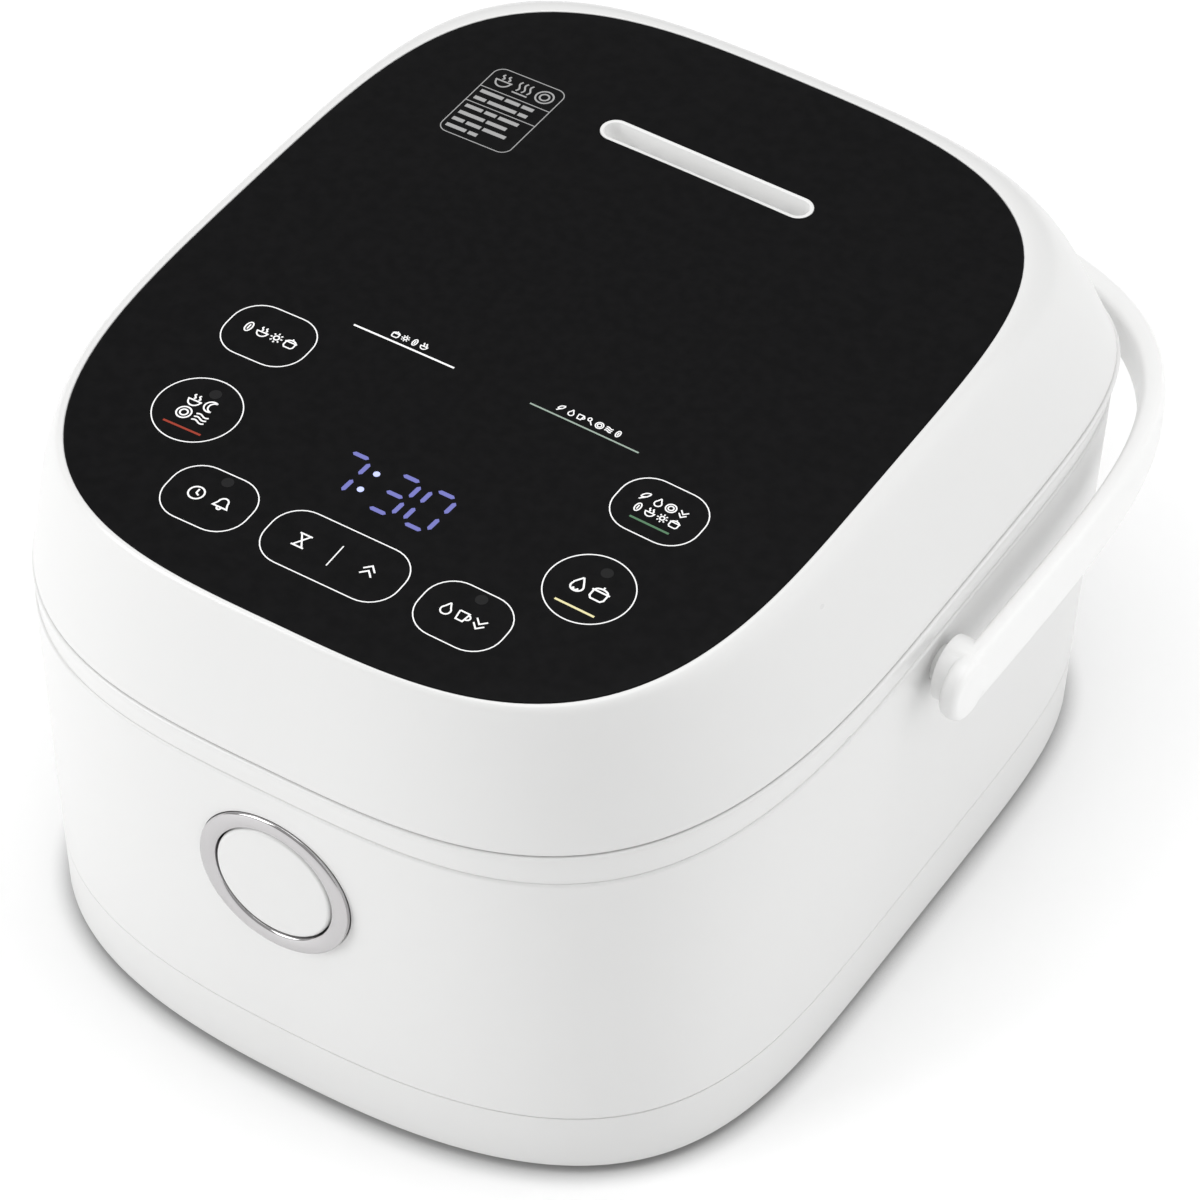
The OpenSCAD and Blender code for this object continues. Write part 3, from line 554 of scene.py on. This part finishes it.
def make_body_shell():
    """Wall with rounded edges and its openings for the ring, the bosses and the inlet."""
    top, foot = BELT_Z - 0.06 * MM, BASE_Z + 0.25 * MM
    top_r, foot_r = 1.1 * MM, 0.4 * MM
    upper = round_edge(lambda inset: body_ring(top - top_r, inset), top - top_r, top_r, 0, 90, 5)
    lower = round_edge(lambda inset: body_ring(foot + foot_r, inset), foot + foot_r, foot_r, -90, 0, 4)
    sides = [body_ring(z) for z in np.linspace(foot + 1.5 * MM, top - 1.6 * MM, 16)]
    inside = [body_ring(z, WALL) for z in (top, mix(top, foot, 0.5), foot)]
    shell = skin("body_shell", lower + sides + upper + inside, closed=True)
    ahead = RING_BACK - 60 * MM
    cut(shell,
        rod("seat", RING_OUTER + 0.25 * MM, (0, ahead, BUTTON_Z), (0, RING_BACK, BUTTON_Z), 160),
        rod("barrel", RING_INNER + 2.6 * MM, (0, ahead, BUTTON_Z), (0, RING_BACK + 30 * MM, BUTTON_Z), 160))
    for side in (-1, 1):
        cut(shell, rod(f"boss_hole_{side}", BOSS_R + 0.1 * MM, (side * 110 * MM, PIVOT.y, PIVOT.z),
                       (side * 145 * MM, PIVOT.y, PIVOT.z), 120))
    low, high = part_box("power_inlet")
    gap = 0.2 * MM
    cut(shell, box_shape("inlet_hole", (low.x - gap, low.y, low.z - gap),
                         (high.x + gap, high.y + 30 * MM, high.z + gap)))
    dress(shell, "white_shell", "base", "outer_body")


def make_rim():
    """Upper frame: band set back from the wall, lip under the lid, flat deck and round mouth for the pot."""
    low_r, top_r, set_back, proud = 0.2 * MM, 1.0 * MM, 0.55 * MM, 0.1 * MM
    lip_z = DECK_Z + 0.5 * MM
    band_z = BELT_Z + low_r
    band = round_edge(lambda inset: body_ring(band_z, inset + set_back), band_z, low_r, -90, 0)

    def upper(inset):
        return ring(SEAM_HALF + proud - inset, SEAM_FRONT, SEAM_REAR, 0)

    side = [level(mix(band[-1], upper(0), k), mix(band_z, lip_z - top_r, k)) for k in (0.35, 0.7)]
    top = round_edge(upper, lip_z - top_r, top_r, 0, 90)
    step = [level(upper(2.1 * MM), lip_z), level(upper(2.3 * MM), DECK_Z)]
    frame_top = skin("upper_frame", band + side + top + step)
    pocket = skin("pocket", [level(body_ring(BELT_Z, WALL), z) for z in (BELT_Z - 5 * MM, DECK_Z - 3.5 * MM)])
    cut(frame_top, pocket, rod("mouth", MOUTH_R, (0, BODY_Y, 0), (0, BODY_Y, 1), 192))
    slot_half_w, slot_near, slot_far = 7.5 * MM, 140.5 * MM, 121.5 * MM
    cut(frame_top, box_shape("latch_slot", (-slot_half_w, BODY_Y - slot_near, DECK_Z - 10 * MM),
                             (slot_half_w, BODY_Y - slot_far, DECK_Z + 10 * MM)))
    dress(frame_top, "white_shell", "base", "body_rim")


def make_base_cover():
    """Tray with a tight lower corner, given as (inset, height) in millimetres, and two groups of slots."""
    curl = [(1.4, 0), (0.75, 0.12), (0.32, 0.42), (0.08, 0.85), (0, 1.4)]
    top_r = 0.4 * MM
    edge_z = BASE_Z - top_r
    outside = [body_ring(FOOT_H + up * MM, inset * MM) for inset, up in curl]
    outside += [body_ring(z) for z in (FOOT_H + 3.5 * MM, FOOT_H + 9 * MM, edge_z)]
    rim = round_edge(lambda inset: body_ring(edge_z, inset), edge_z, top_r, 15, 90, 4)
    inside = [body_ring(BASE_Z, WALL), body_ring(FOOT_H + 6 * MM, WALL + 0.6 * MM),
              level(body_ring(FOOT_H + 2.6 * MM, WALL + 4 * MM), FOOT_H + 2.6 * MM)]
    tray = skin("base_tray", outside + rim + inside)
    pitch, slot_w = 6.4 * MM, 3 * MM
    for group, cx, cy, half in (("intake", 44, 96, 23), ("outlet", -44, 92, 20)):
        y = BODY_Y + cy * MM
        for k in range(-3, 4):
            x = cx * MM + pitch * k
            cut(tray, box_shape(f"{group}_{k}", (x - slot_w / 2, y - half * MM, 0),
                                (x + slot_w / 2, y + half * MM, FOOT_H + 4 * MM)))
    dress(tray, "base_plastic", "base", "base_cover")


# ---------------------------------------------------------------- handle, button and ring
def make_handle():
    """Bail of rounded section, full height at the arms, lower and thicker at the rear, with round ends."""
    outer = np.array([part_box("handle")[1].x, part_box("handle")[1].y - PIVOT.y])
    inner = outer - np.array([6.5, 9]) * MM
    corner, section = (2.97, 4.56), 0.55
    arm_h, bar_h, bar_drop = 20.6 * MM, 13.2 * MM, 1.4 * MM
    stations, sides = 160, 48
    fine = (1 - np.cos(np.linspace(0, math.pi / 2, 3000))) * math.pi / 2
    fx, fy = outer[0] * spow(np.cos(fine), 2 / corner[0]), outer[1] * spow(np.sin(fine), 2 / corner[1])
    along = np.concatenate([[0], np.cumsum(np.hypot(np.diff(fx), np.diff(fy)))])
    half_turn = np.interp(np.linspace(0, along[-1], stations // 2 + 1), along, fine)
    turns = np.concatenate([[0], half_turn, (math.pi - half_turn[:-1])[::-1], [math.pi]])
    ahead = [TIP_AHEAD] + [0] * (len(turns) - 2) + [TIP_AHEAD]
    rings = []
    for t, forward in zip(turns, ahead):
        c = spow(np.cos(t), 2 / corner[0])
        s = spow(max(math.sin(t), 0.0), 2 / corner[1])
        blend = math.sin(t) ** 2
        height, zc = mix(arm_h, bar_h, blend), mix(0, -bar_drop, blend)
        w = np.arange(sides) * TURN / sides
        k = 0.5 + 0.5 * spow(np.cos(w), section)
        x = mix(inner[0], outer[0], k) * c
        y = mix(inner[1], outer[1], k) * s
        z = zc + height / 2 * spow(np.sin(w), section)
        rings.append(np.stack([x, y + PIVOT.y - forward, z + PIVOT.z], 1))
    bail = skin("handle_bail", rings, smooth_angle=50)
    hub_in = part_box("handle_bosses")[1].x + 0.3 * MM
    for side in (-1, 1):
        for name, r, near, far, soft, back in (
                ("tip", arm_h / 2, inner[0], outer[0], 2.4 * MM, -TIP_AHEAD),
                ("hub", arm_h / 2 + 0.1 * MM, hub_in, outer[0] - 2 * MM, 0.35 * MM, 0)):
            half_t = (far - near) / 2
            centre = (side * (far + near) / 2, PIVOT.y + back, PIVOT.z)
            disc = [(0, -half_t)] + arc(r - soft, -half_t + soft, soft, -90, 0) \
                + arc(r - soft, half_t - soft, soft, 0, 90) + [(0, half_t)]
            combine(bail, lathe(f"handle_{name}_{side}", disc, centre, "X", 120), "UNION")
    tidy_mesh(bail, 50)
    # The handle takes the lighter copy of the white shell plastic, with its painted light.
    dress(bail, "white_shell", "handle", "handle", mat=WHITE_SHELL_PAINTED_LIGHTER)


def make_bosses():
    """Round side bosses with a softened outer edge and a sunk pin hole."""
    start, flange_t, flange_r = 120.6 * MM, 3.6 * MM, 12 * MM
    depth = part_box("handle_bosses")[1].x - start
    hole, soft = 4.08 * MM, 0.6 * MM
    profile = [(hole, 0), (flange_r, 0), (flange_r, flange_t), (BOSS_R, flange_t)]
    profile += arc(BOSS_R - soft, depth - soft, soft, 0, 90) + [(hole, depth)]
    for label, side, angle, stands_for in (("left", -1, math.pi, []), ("right", 1, 0, ["handle_bosses"])):
        piece = lathe(f"handle_boss_{label}", profile, (0, 0, 0), "X", 128)
        place = Matrix.Translation(Vector((side * start, PIVOT.y, PIVOT.z)))
        piece.data.transform(place @ Matrix.Rotation(angle, 4, "Z"))
        # The bosses take the lighter copy of the white shell plastic, with its painted light.
        dress(piece, "white_shell", "base", *stands_for, mat=WHITE_SHELL_PAINTED_LIGHTER)


def make_ring():
    """Collar with a straight side and a low dome in front, and a barrel through the wall."""
    low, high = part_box("button_ring")
    dome, half_band = 1.1 * MM, (RING_OUTER - RING_INNER) / 2
    side = RING_BACK - low.y - dome
    barrel, barrel_r = high.y - RING_BACK, RING_INNER + 2.3 * MM
    # Heights run towards the front of the cooker
    face = [(RING_INNER + half_band * (1 + math.cos(a)), side + dome * math.sin(a))
            for a in np.linspace(0, math.pi, 41)]
    profile = [(RING_OUTER, 0)] + face + [(RING_INNER, -barrel), (barrel_r, -barrel), (barrel_r, 0)]
    piece = lathe("chrome_button_ring", profile, (0, RING_BACK, BUTTON_Z), "Y", 200, 30)
    dress(piece, "chrome_trim", "base", "button_ring")


def make_button():
    """Slightly domed disc with a soft edge and a stem behind it."""
    r = RING_INNER - 0.5 * MM
    soft, rise, stem_r = 1.2 * MM, 0.4 * MM, 4.8 * MM
    back = RING_BACK + 5.1 * MM
    depth, stem = back - BUTTON_FACE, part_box("open_button")[1].y - back
    dome = [(k * (r - soft), depth - rise * k * k) for k in np.linspace(0, 0.96, 14)]
    edge = [(r - soft + soft * math.sin(a), depth - rise - soft * (1 - math.cos(a)))
            for a in np.linspace(0, math.pi / 2, 8)]
    profile = dome + edge + [(r, 0), (stem_r, 0), (stem_r, -stem), (0, -stem)]
    piece = lathe("open_button_disc", profile, (0, back, BUTTON_Z), "Y", 200, 30)
    dress(piece, "white_button", "button", "open_button")


make_lid_cover()
make_top_panel()
make_steam_cap()
make_body_shell()
make_rim()
make_base_cover()
make_handle()
make_bosses()
make_ring()
make_button()


# ---------------------------------------------------------------- prints on the panel
PRINT_H, PRINT_SINK = 0.06 * MM, 0.02 * MM


def lay(points, lift):
    """Points of the panel's plan, y from the body's centre, set on its crowned surface."""
    return [(x, y + BODY_Y, crown(x, y) + lift) for x, y in points]


class Print:
    """Collects thin solids of ink that become one piece."""

    def __init__(self):
        self.verts, self.faces = [], []

    def patch(self, outline):
        """Filled convex outline, counter-clockwise."""
        n, base = len(outline), len(self.verts)
        self.verts += lay(outline, -PRINT_SINK) + lay(outline, PRINT_H)
        self.faces.append(tuple(range(base, base + n))[::-1])
        self.faces.append(tuple(range(base + n, base + 2 * n)))
        for i in range(n):
            k = (i + 1) % n
            self.faces.append((base + i, base + k, base + n + k, base + n + i))

    def band(self, path, width, closed=True):
        """Line of a given width along a path."""
        pts = np.array(path, float)
        step = np.roll(pts, -1, 0) - pts
        if not closed:
            step[-1] = step[-2]
        step /= np.linalg.norm(step, axis=1)[:, None]
        before = np.roll(step, 1, 0)
        if not closed:
            before[0] = step[0]
        across = np.stack([-step[:, 1], step[:, 0]], 1)
        normal = across + np.stack([-before[:, 1], before[:, 0]], 1)
        normal /= np.linalg.norm(normal, axis=1)[:, None]
        # Mitred corners: the half width grows with the bend, up to twice
        normal *= width / 2 / np.maximum((normal * across).sum(1), 0.5)[:, None]
        n, base = len(pts), len(self.verts)
        left, right = (pts + normal).tolist(), (pts - normal).tolist()
        for row, lift in ((left, -PRINT_SINK), (left, PRINT_H), (right, PRINT_H), (right, -PRINT_SINK)):
            self.verts += lay(row, lift)
        for i in range(n if closed else n - 1):
            k = (i + 1) % n
            for a in range(4):
                b = (a + 1) % 4
                self.faces.append((base + a * n + i, base + a * n + k, base + b * n + k, base + b * n + i))
        if not closed:
            for i in (0, n - 1):
                self.faces.append(tuple(base + a * n + i for a in range(4)))

    def disc(self, x, y, r):
        self.patch(circle(x, y, r, 24))

    def line(self, start, end, width):
        """Straight line with a point every 2 mm or so, which lets it follow the crowned surface."""
        steps = 2 + int(math.dist(start, end) / (2 * MM))
        path = [(mix(start[0], end[0], k), mix(start[1], end[1], k)) for k in np.linspace(0, 1, steps)]
        self.band(path, width, closed=False)

    def make(self, name, slot_name, mat):
        dress(new_object(name, self.verts, self.faces, 30), slot_name, "lid", mat=mat)


def rounded_box(cx, cy, half_w, half_h, r):
    path = []
    for k, (sx, sy) in enumerate(((1, -1), (1, 1), (-1, 1), (-1, -1))):
        ox, oy = cx + sx * (half_w - r), cy + sy * (half_h - r)
        start = -90 + 90 * k
        path += arc(ox, oy, r, start, start + 90, 10)
    return path


KEY_LINE = 0.36 * MM
KEY_HALF = (14.1 * MM, 11.1 * MM)
KEY_CORNER = 0.85 * KEY_HALF[1]
ROUND_KEY_R = 13.4 * MM
ROUND_KEYS = {"warm": (-67.6 * MM, -90.3 * MM), "cook": (67.6 * MM, -90.3 * MM)}
UPPER_KEYS = {"menu": (-67.8 * MM, -53.9 * MM), "light_menu": (67.8 * MM, -53.9 * MM)}
LOWER_KEYS = {"timer": (-43.6 * MM, -118.2 * MM), "low_sugar": (43.6 * MM, -118.2 * MM)}
PILL = (0.0, -118.3 * MM)
PILL_HALF_W = 22.8 * MM
PILL_DIVIDER = 4.4 * MM                # half length of the line between its two halves
DISPLAY = (0.0, -89.35 * MM)
LAMP_AT, LAMP_R = (0.9 * MM, 7.9 * MM), 1.9 * MM


def key_outlines():
    ink = Print()
    for x, y in ROUND_KEYS.values():
        ink.band(circle(x, y, ROUND_KEY_R, 72), KEY_LINE)
    for x, y in [*UPPER_KEYS.values(), *LOWER_KEYS.values()]:
        ink.band(rounded_box(x, y, *KEY_HALF, KEY_CORNER), KEY_LINE)
    ink.band(rounded_box(*PILL, PILL_HALF_W, KEY_HALF[1], KEY_CORNER), KEY_LINE)
    ink.line((PILL[0], PILL[1] - PILL_DIVIDER), (PILL[0], PILL[1] + PILL_DIVIDER), KEY_LINE)
    ink.make("key_outlines", "black_panel", INK_WITH_PAINTED_GLOW)


def bow(cx, cy, rx, ry, start, end, steps=18):
    """Part of an ellipse, angles in degrees."""
    return [(cx + rx * math.cos(math.radians(a)), cy + ry * math.sin(math.radians(a)))
            for a in np.linspace(start, end, steps)]


def ripple(x, y, length, upright=True):
    """Short wavy stroke through a point."""
    path = [(0.16 * math.sin(2 * math.pi * k), (k - 0.5) * length) for k in np.linspace(0, 1, 14)]
    return [(x + a, y + b) if upright else (x + b, y + a) for a, b in path]


# Pictograms as open strokes in a square from -1 to 1
PICTOGRAMS = {
    "pot": [[(-0.8, 0.25), (-0.8, -0.6), (-0.55, -0.9), (0.55, -0.9), (0.8, -0.6), (0.8, 0.25)],
            [(-1, 0.25), (1, 0.25)], bow(0, 0.25, 0.75, 0.42, 180, 0), [(0, 0.67), (0, 1)]],
    "bowl": [[(-1, 0), (1, 0)], bow(0, 0, 0.85, 0.9, 180, 360),
             ripple(-0.35, 0.6, 0.75), ripple(0.35, 0.6, 0.75)],
    "steam": [ripple(-0.65, 0.15, 1.5), ripple(0, 0.15, 1.5), ripple(0.65, 0.15, 1.5),
              [(-0.9, -0.95), (0.9, -0.95)]],
    "clock": [bow(0, 0, 0.92, 0.92, 90, 450, 30), [(0, 0.6), (0, 0), (0.42, -0.25)]],
    "leaf": [bow(0.35, -0.35, 1.3, 1.3, 90, 180), bow(-0.95, 0.95, 1.3, 1.3, 270, 360),
             [(-1, -1), (0.1, 0.1)]],
    "drop": [bow(0, -0.3, 0.65, 0.65, 130, 410, 24) + [(0, 1)], [(0, 1), (-0.42, 0.2)]],
    "flame": [[(0, 1), (-0.6, 0.1)] + bow(0, -0.35, 0.68, 0.6, 155, 385, 20) + [(0.3, 0.5), (0, 1)],
              bow(0, -0.55, 0.25, 0.3, 180, 360)],
    "sun": [bow(0, 0, 0.42, 0.42, 0, 360, 24)]
           + [[(0.68 * math.cos(a), 0.68 * math.sin(a)), (math.cos(a), math.sin(a))]
              for a in np.arange(8) * math.pi / 4],
    "bell": [bow(0, 0.1, 0.6, 0.75, 180, 0), [(-0.6, 0.1), (-0.9, -0.5), (0.9, -0.5), (0.6, 0.1)],
             bow(0, -0.62, 0.24, 0.28, 180, 360)],
    "hourglass": [[(-0.8, 0.95), (0.8, 0.95)], [(-0.8, -0.95), (0.8, -0.95)],
                  [(-0.6, 0.95), (0.6, -0.95)], [(0.6, 0.95), (-0.6, -0.95)]],
    "up": [[(-0.75, 0.15), (0, 0.9), (0.75, 0.15)], [(-0.75, -0.65), (0, 0.1), (0.75, -0.65)]],
    "down": [[(-0.75, -0.15), (0, -0.9), (0.75, -0.15)], [(-0.75, 0.65), (0, -0.1), (0.75, 0.65)]],
    "moon": [bow(0, 0, 0.9, 0.9, 60, 300, 26), bow(0.45, 0, 0.78, 0.78, 90, 270, 22)],
    "grain": [bow(0, 0, 0.5, 0.95, 90, 450, 28), [(0, 0.5), (0, -0.5)]],
    "cup": [[(-0.8, 0.6), (-0.6, -0.8), (0.35, -0.8), (0.55, 0.6), (-0.8, 0.6)],
            bow(0.5, 0, 0.45, 0.4, 80, -100)],
    "plate": [bow(0, 0, 0.95, 0.95, 0, 360, 30), bow(0, 0, 0.5, 0.5, 0, 360, 24)],
    "waves": [ripple(0, 0.55, 1.8, False), ripple(0, 0, 1.8, False), ripple(0, -0.55, 1.8, False)],
    "spoon": [bow(-0.35, 0.45, 0.42, 0.5, -45, 315, 22), [(-0.08, 0.08), (0.85, -0.95)]],
}


def pictogram_row(ink, place, up, size, pitch, names):
    """Pictograms side by side, centred on a place and moved up; up, size and pitch in millimetres."""
    width = (0.2 + 0.06 * size) * MM
    for k, name in enumerate(names):
        cx = place[0] + (k - (len(names) - 1) / 2) * pitch * MM
        cy = place[1] + up * MM
        for stroke in PICTOGRAMS[name]:
            ink.band([(cx + x * size / 2 * MM, cy + y * size / 2 * MM) for x, y in stroke],
                     width, closed=False)


# Rows of pictograms where the keys and headers have their labels: place, up, size, pitch, names
KEY_MARKS = [
    (UPPER_KEYS["menu"], 0.4, 4.1, 4.9, ("grain", "bowl", "sun", "pot")),
    (UPPER_KEYS["light_menu"], 2.9, 3.4, 4.1, ("leaf", "drop", "plate", "down")),
    (UPPER_KEYS["light_menu"], -1.8, 3.4, 4.1, ("grain", "bowl", "sun", "pot")),
    (ROUND_KEYS["warm"], 2.9, 4.8, 5.7, ("bowl", "moon")),
    (ROUND_KEYS["warm"], -2.7, 4.8, 5.7, ("plate", "waves")),
    (ROUND_KEYS["cook"], 0.0, 5.8, 7.0, ("flame", "pot")),
    (LOWER_KEYS["timer"], 0.0, 5.3, 9.0, ("clock", "bell")),
    (LOWER_KEYS["low_sugar"], 0.0, 4.8, 5.5, ("drop", "cup", "down")),
    (PILL, 0.0, 5.2, 22.8, ("hourglass", "up")),
    ((-31.3 * MM, -34.0 * MM), 0.0, 2.7, 3.3, ("pot", "sun", "grain", "bowl")),
    ((31.5 * MM, -34.2 * MM), 0.0, 2.6, 3.2, ("leaf", "drop", "cup", "spoon", "plate", "waves", "grain")),
]


def key_marks():
    ink = Print()
    for row in KEY_MARKS:
        pictogram_row(ink, *row)
    ink.make("key_pictograms", "black_panel", INK_WITH_PAINTED_GLOW)


# Patch beside the steam slot, in mm: its border, its two rules, and rows of bars as (height, lengths)
PATCH_LEFT, PATCH_RIGHT, PATCH_LOW, PATCH_HIGH = -79.0, -53.8, 50.4, 85.1
PATCH_RULES = (74.5, 66.4)
PATCH_BARS = [(72.4, (9, 6, 5)), (68.8, (5, 11, 4)), (64.1, (7, 5, 8)), (60.5, (10, 8)),
              (57.0, (5, 6, 9)), (53.5, (8, 4))]


def care_patch():
    """Bordered patch with pictograms above rows of plain bars."""
    cx, cy = (PATCH_LEFT + PATCH_RIGHT) / 2 * MM, (PATCH_LOW + PATCH_HIGH) / 2 * MM
    margin, space, bar_w = 1.6, 0.9, 1.5
    ink = Print()
    ink.band(rounded_box(cx, cy, (PATCH_RIGHT - PATCH_LEFT) / 2 * MM, (PATCH_HIGH - PATCH_LOW) / 2 * MM,
                         3.4 * MM), 0.32 * MM)
    for y in PATCH_RULES:
        ink.line((PATCH_LEFT * MM, y * MM), (PATCH_RIGHT * MM, y * MM), 0.3 * MM)
    pictogram_row(ink, (cx, 79.7 * MM), 0.0, 6.0, 7.4, ("bowl", "steam", "plate"))
    for y, lengths in PATCH_BARS:
        x = PATCH_LEFT + margin
        for length in lengths:
            ink.line((x * MM, y * MM), ((x + length - space) * MM, y * MM), bar_w * MM)
            x += length
    ink.make("care_patch", "black_panel", INK_GREY)


def header_rules():
    """Two rules below the header pictograms, in millimetres: left, right, height and width."""
    for name, left, right, y, width, mat in (
            ("header_rule_left", -49.2, -13.9, -37, 0.62, INK_WITH_PAINTED_GLOW),
            ("header_rule_right", 12.8, 50.1, -37.4, 0.5, INK_PALE_GREEN)):
        ink = Print()
        ink.line((left * MM, y * MM), (right * MM, y * MM), width * MM)
        ink.make(name, "black_panel", mat)


def key_underlines():
    for name, place, drop, mat in (
            ("warm_underline", ROUND_KEYS["warm"], 8.2 * MM, INK_RED),
            ("cook_underline", ROUND_KEYS["cook"], 8.2 * MM, INK_CREAM),
            ("light_menu_underline", UPPER_KEYS["light_menu"], 6.0 * MM, INK_GREEN)):
        ink = Print()
        y = place[1] - drop
        ink.line((place[0] - 6.3 * MM, y), (place[0] + 6.9 * MM, y), 0.7 * MM)
        ink.make(name, "black_panel", mat)


def lamp_lenses():
    """Unlit lamps in the keys, barely lighter than the panel."""
    ink = Print()
    for x, y in [*ROUND_KEYS.values(), *LOWER_KEYS.values()]:
        ink.disc(x + LAMP_AT[0], y + LAMP_AT[1], LAMP_R)
    ink.make("lamp_lenses", "black_panel", INK_DIM)


# Segments of a digit as (start, end) in units of half a width and half a height
SEGMENTS = {
    "top": ((-1, 1), (1, 1)), "middle": ((-1, 0), (1, 0)), "bottom": ((-1, -1), (1, -1)),
    "upper_left": ((-1, 1), (-1, 0)), "upper_right": ((1, 1), (1, 0)),
    "lower_left": ((-1, 0), (-1, -1)), "lower_right": ((1, 0), (1, -1)),
}
DIGITS = {
    "7": ("top", "upper_right", "lower_right"),
    "3": ("top", "upper_right", "middle", "lower_right", "bottom"),
    "0": ("top", "upper_left", "upper_right", "lower_left", "lower_right", "bottom"),
}


CLOCK = (("7", -16.75), ("3", 0.75), ("0", 12.85))    # digits and their places from the middle, in mm


def clock_display():
    """Lit seven-segment clock with slanted digits and round colon dots, sizes in millimetres."""
    half_w, half_h, slant, width, gap = 4.1, 7.85, 0.065, 1.45, 1.3
    colon_x, dot_r = -8.5, 1.05
    ink, dots = Print(), Print()
    for digit, cx in CLOCK:
        for name in DIGITS[digit]:
            (x0, y0), (x1, y1) = SEGMENTS[name]
            start = Vector((x0 * half_w + slant * y0 * half_h, y0 * half_h))
            end = Vector((x1 * half_w + slant * y1 * half_h, y1 * half_h))
            run = (end - start).normalized()
            start, end = start + run * gap, end - run * gap
            side = Vector((-run.y, run.x)) * width / 2
            tip = run * width / 2
            shape = [start, start + tip - side, end - tip - side, end, end - tip + side, start + tip + side]
            ink.patch([(DISPLAY[0] + (p.x + cx) * MM, DISPLAY[1] + p.y * MM) for p in shape])
    for y in (-3.4, 4.1):
        dots.disc(DISPLAY[0] + (colon_x + slant * y) * MM, DISPLAY[1] + y * MM, dot_r * MM)
    ink.make("clock_segments", "display", LED)
    dots.make("clock_dots", "display", LED_DOT)


key_outlines()
key_marks()
header_rules()
key_underlines()
care_patch()
lamp_lenses()
clock_display()


# ---------------------------------------------------------------- camera, floor and light
def make_camera():
    azimuth, elevation = math.radians(32.88), math.radians(44.98)
    data = bpy.data.cameras.new("camera")
    data.sensor_width = 36
    data.lens = 197.04
    data.shift_x, data.shift_y = -0.0057, -0.0084
    data.clip_start, data.clip_end = 0.05, 20
    camera = bpy.data.objects.new("camera", data)
    bpy.context.scene.collection.objects.link(camera)
    camera.location = (0.7815, BODY_Y - 1.1856, 1.5045)
    camera.rotation_euler = (math.pi / 2 - elevation, 0, azimuth)
    bpy.context.scene.camera = camera


def make_floor():
    size, z = 6.0, -0.05 * MM
    floor = new_object("floor", [(-size, -size, z), (size, -size, z), (size, size, z), (-size, size, z)],
                       [(0, 1, 2, 3)])
    mat = shader("pale_floor", (0.95, 0.95, 0.95), 0.6, Emission_Color=(1, 1, 1, 1), Emission_Strength=0.05)
    vary_roughness(mat, noise(mat, 20), 0.55, 0.65)
    # Painted contact shadow: the floor's colour is darkened where something stands close to the floor,
    # deepening the contact shadow
    corner = mat.node_tree.nodes.new("ShaderNodeAmbientOcclusion")
    corner.samples = 8
    corner.inputs["Distance"].default_value = 8 * MM
    vary_color(mat, corner, (0.2, 0.2, 0.2), (0.95, 0.95, 0.95), 0.15, 0.95, "AO")
    floor.data.materials.append(mat)


LIGHT_TARGET = Vector((0, 0, 0.1))


def area_light(name, place, size, power):
    """Square soft light aimed at the middle of the cooker."""
    data = bpy.data.lights.new(name, "AREA")
    data.shape = "SQUARE"
    data.size = size
    data.energy = power
    lamp = bpy.data.objects.new(name, data)
    bpy.context.scene.collection.objects.link(lamp)
    lamp.location = place
    lamp.rotation_euler = (LIGHT_TARGET - Vector(place)).to_track_quat("-Z", "Y").to_euler()


def make_light():
    world = bpy.data.worlds.new("studio")
    bpy.context.scene.world = world
    world.use_nodes = True
    background = world.node_tree.nodes["Background"].inputs
    background["Color"].default_value = (1, 1, 1, 1)
    background["Strength"].default_value = 0.46
    area_light("left", (-1.28, -1.53, 1.0), 1.2, 21)
    area_light("right", (1.87, 0.68, 1.0), 2.2, 15.5)
    area_light("top", (0.1, 0.2, 2.4), 2.2, 31)
    bpy.context.scene.view_settings.view_transform = "Standard"


make_camera()
make_floor()
make_light()
